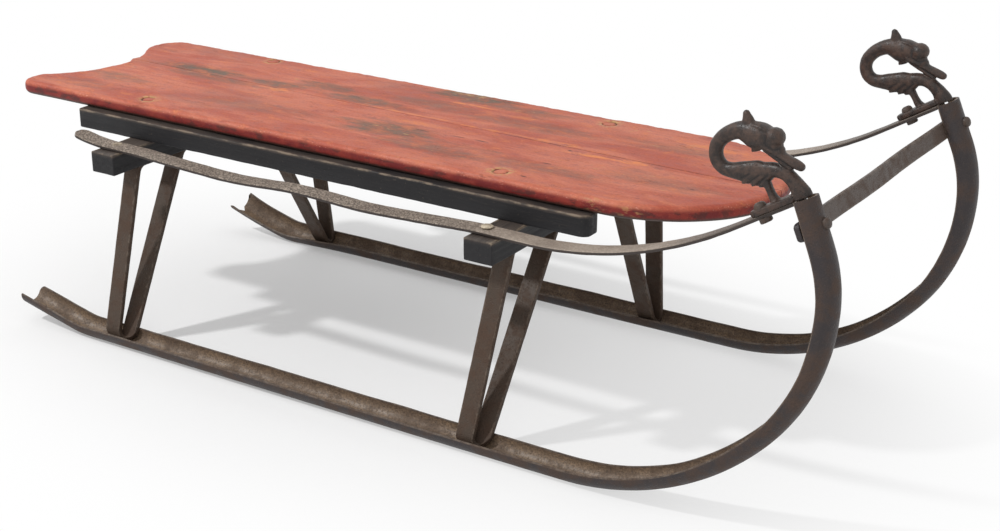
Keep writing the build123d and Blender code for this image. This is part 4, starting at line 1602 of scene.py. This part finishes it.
LIMB_AROUND = 20  # points round a limb
LIMB_CAPS = (0.4, 0.75, 0.93, 0.995)  # rings over a limb's round ends
OVAL, BOXY = 2.0, 5.0  # powers of a limb's section
GROOVE_WIDTH = 0.85  # half width of the cut lines in millimetres
GROOVE_ENDS = (6, 0.4)  # how fast a cut line deepens from its ends, and its share there
GROOVE_SIDES = (1.6, -0.3)  # the lines are cut only where the face looks aside: share and start
SKIN = ((0.10 * MM, 420.0, 5.0), (0.14 * MM, 130.0, 6.0))  # size, waves to the metre, seed
NECK_CLEAR = 0.35 * MM  # casting off the runner's end
PLATE_CLEAR = 0.15 * MM  # casting off the strap's face
PLATE_BACK = 2 * MM  # plate's front end behind the runner's lip
STANDS_TRUE = (6 * MM, 12 * MM)  # above the strap, up to where a casting isn't turned, and over what height


def limb_mesh(rows, power):
    """Closed limb; gives points in millimetres, forward, aside, up, and its faces."""
    rows = smooth_rows(rows)
    along = np.gradient(rows[:, :2], axis=0)
    along /= np.hypot(*along.T)[:, None]
    shells = [(rows[0], along[0], -rows[0][2] * s, sqrt(1 - s * s)) for s in reversed(LIMB_CAPS)]
    shells += [(row, tangent, 0.0, 1.0) for row, tangent in zip(rows, along)]
    shells += [(rows[-1], along[-1], rows[-1][2] * s, sqrt(1 - s * s)) for s in LIMB_CAPS]
    points = []
    for row, tangent, ahead, size in shells:
        centre = row[:2] + tangent * ahead
        normal = np.array((-tangent[1], tangent[0]))
        for turn in np.arange(LIMB_AROUND) * 2 * pi / LIMB_AROUND:
            high = np.sign(cos(turn)) * abs(cos(turn)) ** (2 / power) * row[2] * size
            wide = np.sign(sin(turn)) * abs(sin(turn)) ** (2 / power) * row[3] * size
            place = centre + normal * high
            points.append((place[0], wide, place[1]))
    return points, ring_faces(len(shells), LIMB_AROUND)


def groove_depth(places):
    """Nearness of places on the casting's side to its cut lines, 0 to 1."""
    deepest = np.zeros(len(places))
    for first, second in GROOVES:
        first = np.array(first)
        run = np.array(second) - first
        share = np.clip((places - first) @ run / (run @ run), 0, 1)
        away = np.hypot(*(places - first - share[:, None] * run).T)
        shallow_ends = np.minimum(1, GROOVE_ENDS[0] * share * (1 - share) + GROOVE_ENDS[1])
        deepest = np.maximum(deepest, bell(away, GROOVE_WIDTH) * shallow_ends)
    return deepest


def merged_limbs(finial, shapes):
    """One mesh of limbs that run into each other."""
    points, faces = [], []
    for some_points, some_faces in shapes:
        faces += [tuple(len(points) + k for k in face) for face in some_faces]
        points += some_points
    loose = closed_mesh("casting_parts", [np.array(p) * MM for p in points], faces)
    parts = bpy.data.objects.new("casting_parts", loose)
    bpy.context.scene.collection.objects.link(parts)
    merge = parts.modifiers.new("Merge", "REMESH")
    merge.mode = "VOXEL"
    merge.voxel_size = finial.voxel
    ease = parts.modifiers.new("Ease", "SMOOTH")
    ease.factor = 0.5
    ease.iterations = finial.smoothing
    merged = bpy.data.meshes.new_from_object(parts.evaluated_get(bpy.context.evaluated_depsgraph_get()))
    bpy.data.objects.remove(parts)
    bpy.data.meshes.remove(loose)
    return merged


def casting_mesh(finial, seat, plate):
    """One finial about the runner's end, seated on the runner and the strap: places, faces, groove values."""
    shapes = [limb_mesh(rows, OVAL) for rows in LIMBS] + [limb_mesh(plate, BOXY)]
    merged = merged_limbs(finial, shapes)
    places, normals = surface(merged)
    on_side = np.clip(np.abs(normals[:, 1]) * GROOVE_SIDES[0] + GROOVE_SIDES[1], 0, 1)
    cut = groove_depth(places[:, (0, 2)] / MM) * on_side
    skin = sum(wander(places, scale, seed) * size for size, scale, seed in SKIN)
    places = places + normals * (skin - cut * finial.groove)[:, None]
    lip, back, planes = seat
    behind = places[:, (0, 2)] @ back > lip
    for rear, (origin, normal) in zip((False, True), planes):
        above = (places[:, (0, 2)] - origin) @ normal
        places[:, (0, 2)] += np.where((above < 0) & (behind == rear), -above, 0.0)[:, None] * normal
    quads = [tuple(p.vertices) for p in merged.polygons]
    bpy.data.meshes.remove(merged)
    return places, quads, cut


def horn_end(iron):
    """Runner's upper end in side view: place, ways along the runner, behind its lip, along and off the strap."""
    route = runner_route(iron)
    heading = route.headings[-1]
    rise = iron.strap_rise
    end = route.points[-1] * np.array((1, cos(iron.lean)))
    along = np.array((cos(heading), sin(heading)))
    back = np.array((-along[1], along[0]))
    return end, along, back, np.array((cos(rise), sin(rise))), np.array((-sin(rise), cos(rise)))


def plate_front(iron, back, strap_along, strap_up):
    """Front end of the foot plate's middle, from the runner's upper end."""
    lip = back * (iron.runner_width / 2 + iron.lip_rise)
    return lip - strap_along * PLATE_BACK + strap_up * (PLATE_HALF - PLATE_SUNK) * MM


class SLED_OT_finials(Operator):
    """Beast-head castings with a coiled neck on the runners' upper ends"""

    bl_idname = "sled.finials"
    bl_label = "Finials"

    def execute(self, context):
        iron = context.scene.sled.iron
        finial = context.scene.sled.finial
        end, along, back, strap_along, strap_up = horn_end(iron)
        front = plate_front(iron, back, strap_along, strap_up)
        plate = [(*(front / MM - strap_along * distance), PLATE_HALF, width) for distance, width in PLATE]
        on_strap = front - strap_up * ((PLATE_HALF - PLATE_SUNK) * MM - PLATE_CLEAR)
        lip = iron.runner_width / 2 + iron.lip_rise
        seat = (lip, back, ((along * NECK_CLEAR, along), (on_strap, strap_up)))
        places, quads, cut = casting_mesh(finial, seat, plate)
        true_up_to, over = STANDS_TRUE
        raised = np.clip(((places[:, (0, 2)] - on_strap) @ strap_up - true_up_to) / over, 0, 1)
        material = cast_iron(finial)
        for side_name, side, turn, shift in CASTINGS:
            low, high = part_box(f"finial_{side_name}")
            with_strap = STRAP_BENDS[side_name][0] * MM
            turned = places.copy()
            turned[:, 1] += raised * (shift * MM - places[:, 0] * sin(radians(turn)))
            turned[:, 1] += (1 - raised) * with_strap
            moved = turned * np.array((1, -side, 1)) + np.array((end[0], (low.y + high.y) / 2, end[1]))
            mesh = built_mesh(f"beast_head_{side_name}", moved, quads, sharp=60.0, hollow=cut)
            add_piece(mesh, material, "cast_iron", f"finial_{side_name}")
        return {"FINISHED"}


# Bolts, nuts and rivets

ROUND, HEXAGON = 24, 6  # points round a head
HEAD_TWIST = 0.3  # turn of the heads in radians
PLATE_BOLT = 31 * MM  # bolt behind the foot plate's front end
BOLT_SUNK = 0.3 * MM  # bolt's seat below the plate's top
RIVET_RISE = 0.5 * MM  # right strap's rivets higher, as the strap is bent up there
BAR_BOLT_RISE = 8 * MM  # bolts above the cross bar's middle


def turned_mesh(profile, sides, place, axis):
    """Turned or many-sided head: rows of radius and height in millimetres about an axis."""
    spin = Vector((0, 0, 1)).rotation_difference(Vector(axis)).to_matrix()
    points = []
    for radius, level in profile:
        for turn in np.arange(sides) * 2 * pi / sides + HEAD_TWIST:
            spot = Vector((radius * cos(turn), radius * sin(turn), level)) * MM
            points.append(tuple(spin @ spot + Vector(place)))
    return points, ring_faces(len(profile), sides)


def dome(radius, height, sunk=0.5):
    """Profile of a round head, its top a tiny flat."""
    return [(radius, -sunk)] + [(radius * r + 0.02, height * h) for r, h in DOME]


def nut(radius, height, sunk=0.3):
    """Profile of a nut with softened corners."""
    return ((radius, -sunk), (radius, height * 0.8), (radius * 0.86, height), (0.3, height))


class SLED_OT_fasteners(Operator):
    """Rivets on the straps, bolts and nuts of the finials, bolts of the cross bar"""

    bl_idname = "sled.fasteners"
    bl_label = "Fasteners"

    def execute(self, context):
        iron = context.scene.sled.iron
        bolt_iron = rusty_iron("bolt_iron", iron, iron.bolt)
        # Rivets in a light cream: a painted highlight of their lit tops
        rivet_iron_painted_highlight = rusty_iron("rivet_iron_painted_highlight", iron, iron.rivet)
        end, along, back, strap_along, strap_up = horn_end(iron)
        up = Vector((strap_up[0], 0, strap_up[1]))
        bolt_x, bolt_z = end + plate_front(iron, back, strap_along, strap_up) - strap_along * PLATE_BOLT
        bolt_lift = up * (PLATE_HALF * MM - BOLT_SUNK)
        nut_drop = up * ((PLATE_HALF - PLATE_SUNK) * MM + iron.strap_thickness)
        bar_low, bar_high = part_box("front_cross_bar")
        level = (bar_low.z + bar_high.z) / 2 + BAR_BOLT_RISE
        front = end + along * (level - end[1]) / along[1]
        forward = (along[1], 0, -along[0])
        rivets = (  # end, profile, ahead of the beam's middle, in from the strap's middle
            ("rear", dome(5.0, 0.7), 0.0, 5.0),
            ("front", RAISED_HEAD, -4.0, 4.4),
        )
        rows = []
        for side_name, side in SIDES:
            strap_low, strap_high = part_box(f"side_strap_{side_name}")
            middle = (strap_low.y + strap_high.y) / 2
            for beam_end, profile, ahead, inward in rivets:
                low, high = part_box(f"{beam_end}_cross_beam")
                seat = high.z + iron.strap_thickness + (RIVET_RISE if side < 0 else 0.0)
                spot = ((low.x + high.x) / 2 + ahead * MM, middle - side * inward * MM, seat)
                rows.append((f"rivet_{beam_end}_{side_name}", rivet_iron_painted_highlight, profile, ROUND, spot, (0, 0, 1)))
            low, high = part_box(f"finial_{side_name}")
            bolt = Vector((bolt_x, (low.y + high.y) / 2, bolt_z))
            on_runner = (front[0], side * (iron.gauge / 2 - front[1] * tan(iron.lean)), front[1])
            rows += (
                (f"plate_bolt_{side_name}", bolt_iron, dome(5.2, 4.4), ROUND, bolt + bolt_lift, up),
                (f"plate_nut_{side_name}", bolt_iron, nut(5.4, 3.8), HEXAGON, bolt - nut_drop, -up),
                (f"bar_bolt_{side_name}", bolt_iron, dome(4.8, 3.8, 1.5), ROUND, on_runner, forward),
            )
        for name, material, *shape in rows:
            points, faces = turned_mesh(*shape)
            plain = np.zeros(len(points))
            mesh = built_mesh(name, points, faces, uneven("fastener"), 50.0, edge=plain)
            add_piece(mesh, material, "strap_iron")
        return {"FINISHED"}


# Stage

FLOOR_HALF = 6.0
FLOOR_LEVEL = -0.1 * MM
FADE_BACK = 0.10  # centre of the floor's fade behind the sled's middle
FADE_NARROW = 1.6  # the fade is this much shorter across the sled
FRONT_FROM, FRONT_TO = -0.15, 0.25  # ahead, where the floor's glow passes into the front one, painted light that lifts the floor's shadow ahead
SENSOR_WIDTH = 36.0


def lamp(name, place, target, size, power):
    """Soft square lamp aimed at a place."""
    light = bpy.data.lights.new(name, "AREA")
    light.size = size
    light.energy = power
    holder = bpy.data.objects.new(name, light)
    holder.location = place
    holder.rotation_euler = (Vector(target) - Vector(place)).to_track_quat("-Z", "Y").to_euler()
    bpy.context.scene.collection.objects.link(holder)


def seen_white(n):
    """1 on rays that show the background itself, straight, in gloss or through glass."""
    path = n.put("LightPath").node.outputs
    seen = n.maths("MAXIMUM", path["Is Camera Ray"], path["Is Glossy Ray"])
    return n.maths("MAXIMUM", seen, path["Is Transmission Ray"])


class SLED_OT_stage(Operator):
    """Pale floor, soft lamps, white surroundings and the camera"""

    bl_idname = "sled.stage"
    bl_label = "Stage"

    def execute(self, context):
        scene = context.scene
        stage = scene.sled.stage
        scene.view_settings.view_transform = "Standard"
        self.floor(scene, stage)
        self.surroundings(scene, stage)
        lamp("key_lamp", stage.key_place, stage.aim, stage.key_size, stage.key)
        lamp("fill_lamp", stage.fill_place, stage.aim, stage.fill_size, stage.fill)
        self.camera(scene, stage)
        return {"FINISHED"}

    def floor(self, scene, stage):
        """Large pale floor that goes over into white."""
        mesh = bpy.data.meshes.new("floor")
        corners = ((-1, -1), (1, -1), (1, 1), (-1, 1))
        mesh.from_pydata([(x * FLOOR_HALF, y * FLOOR_HALF, FLOOR_LEVEL) for x, y in corners], [], [(0, 1, 2, 3)])
        floor = bpy.data.objects.new("floor", mesh)
        scene.collection.objects.link(floor)
        material, n, place = start_material("pale_floor")
        shader = n.tree.nodes["Principled BSDF"]
        n.fill(shader.inputs, {"Base Color": stage.floor, "Roughness": 0.9, "Specular IOR Level": 0.1})
        from_rear = n.scaled(n.vector("ADD", place, (FADE_BACK, 0, 0)), 1, FADE_NARROW, 1)
        away = n.vector("LENGTH", from_rear, out=1)
        # The glow rises ahead of the sled: painted light over the floor's shadow there
        glow = n.step(n.axis(place, 0), FRONT_FROM, FRONT_TO, stage.glow, stage.front_painted_light)
        far = n.times(n.step(away, stage.fade_start, stage.fade_end, glow, 1.0), seen_white(n))
        white = n.put("Emission", (1, 1, 1, 1), 1.0)
        mixed = n.put("MixShader", far, shader.outputs[0], white)
        n.fill(n.tree.nodes["Material Output"].inputs, {"Surface": mixed})
        mesh.materials.append(material)

    def surroundings(self, scene, stage):
        """White to the eye, softer as a light."""
        world = bpy.data.worlds.new("white_room")
        world.use_nodes = True
        scene.world = world
        n = Nodes(world.node_tree)
        level = n.put("MapRange", seen_white(n), 0.0, 1.0, stage.ambient, 1.0)
        n.fill(n.tree.nodes["Background"].inputs, {"Color": (1, 1, 1, 1), "Strength": level})

    def camera(self, scene, stage):
        """Camera where the photograph was taken from."""
        turn, look, roll = stage.azimuth, stage.elevation, stage.roll
        back = Vector((sin(turn) * cos(look), -cos(turn) * cos(look), sin(look)))
        right = Vector((cos(turn), sin(turn), 0))
        up = back.cross(right)
        rolled = (right * cos(roll) + up * sin(roll), up * cos(roll) - right * sin(roll), back)
        view = bpy.data.cameras.new("camera")
        view.sensor_width = SENSOR_WIDTH
        view.lens = stage.lens
        holder = bpy.data.objects.new("camera", view)
        holder.matrix_world = Matrix.Translation(stage.place) @ Matrix(rolled).transposed().to_4x4()
        scene.collection.objects.link(holder)
        scene.camera = holder


# Add-on

SETTINGS = (DeckSettings, TimberSettings, IronSettings, FinialSettings, StageSettings, SledSettings)
OPERATORS = (
    SLED_OT_deck,
    SLED_OT_timber,
    SLED_OT_runners,
    SLED_OT_legs,
    SLED_OT_straps,
    SLED_OT_finials,
    SLED_OT_fasteners,
    SLED_OT_stage,
)


class SLED_PT_panel(Panel):
    """Sidebar panel with the sled's steps and settings"""

    bl_idname = "SLED_PT_panel"
    bl_label = "Child's Sled"
    bl_space_type = "VIEW_3D"
    bl_region_type = "UI"
    bl_category = "Sled"

    def draw(self, context):
        for operator in OPERATORS:
            self.layout.operator(operator.bl_idname)
        sled = context.scene.sled
        for group in (sled.deck, sled.timber, sled.iron, sled.finial, sled.stage):
            box = self.layout.box()
            for name in group.__annotations__:
                box.prop(group, name)


CLASSES = (*SETTINGS, *OPERATORS, SLED_PT_panel)


def register():
    """Add the classes and the scene's settings to Blender."""
    for item in CLASSES:
        bpy.utils.register_class(item)
    bpy.types.Scene.sled = part(SledSettings, "Sled", "All settings of the sled")


def unregister():
    """Take them out again."""
    del bpy.types.Scene.sled
    for item in reversed(CLASSES):
        bpy.utils.unregister_class(item)


def main():
    """Make all pieces and the stage."""
    register()
    for operator in OPERATORS:
        getattr(bpy.ops.sled, operator.bl_idname.split(".")[1])()


if __name__ == "__main__":
    main()
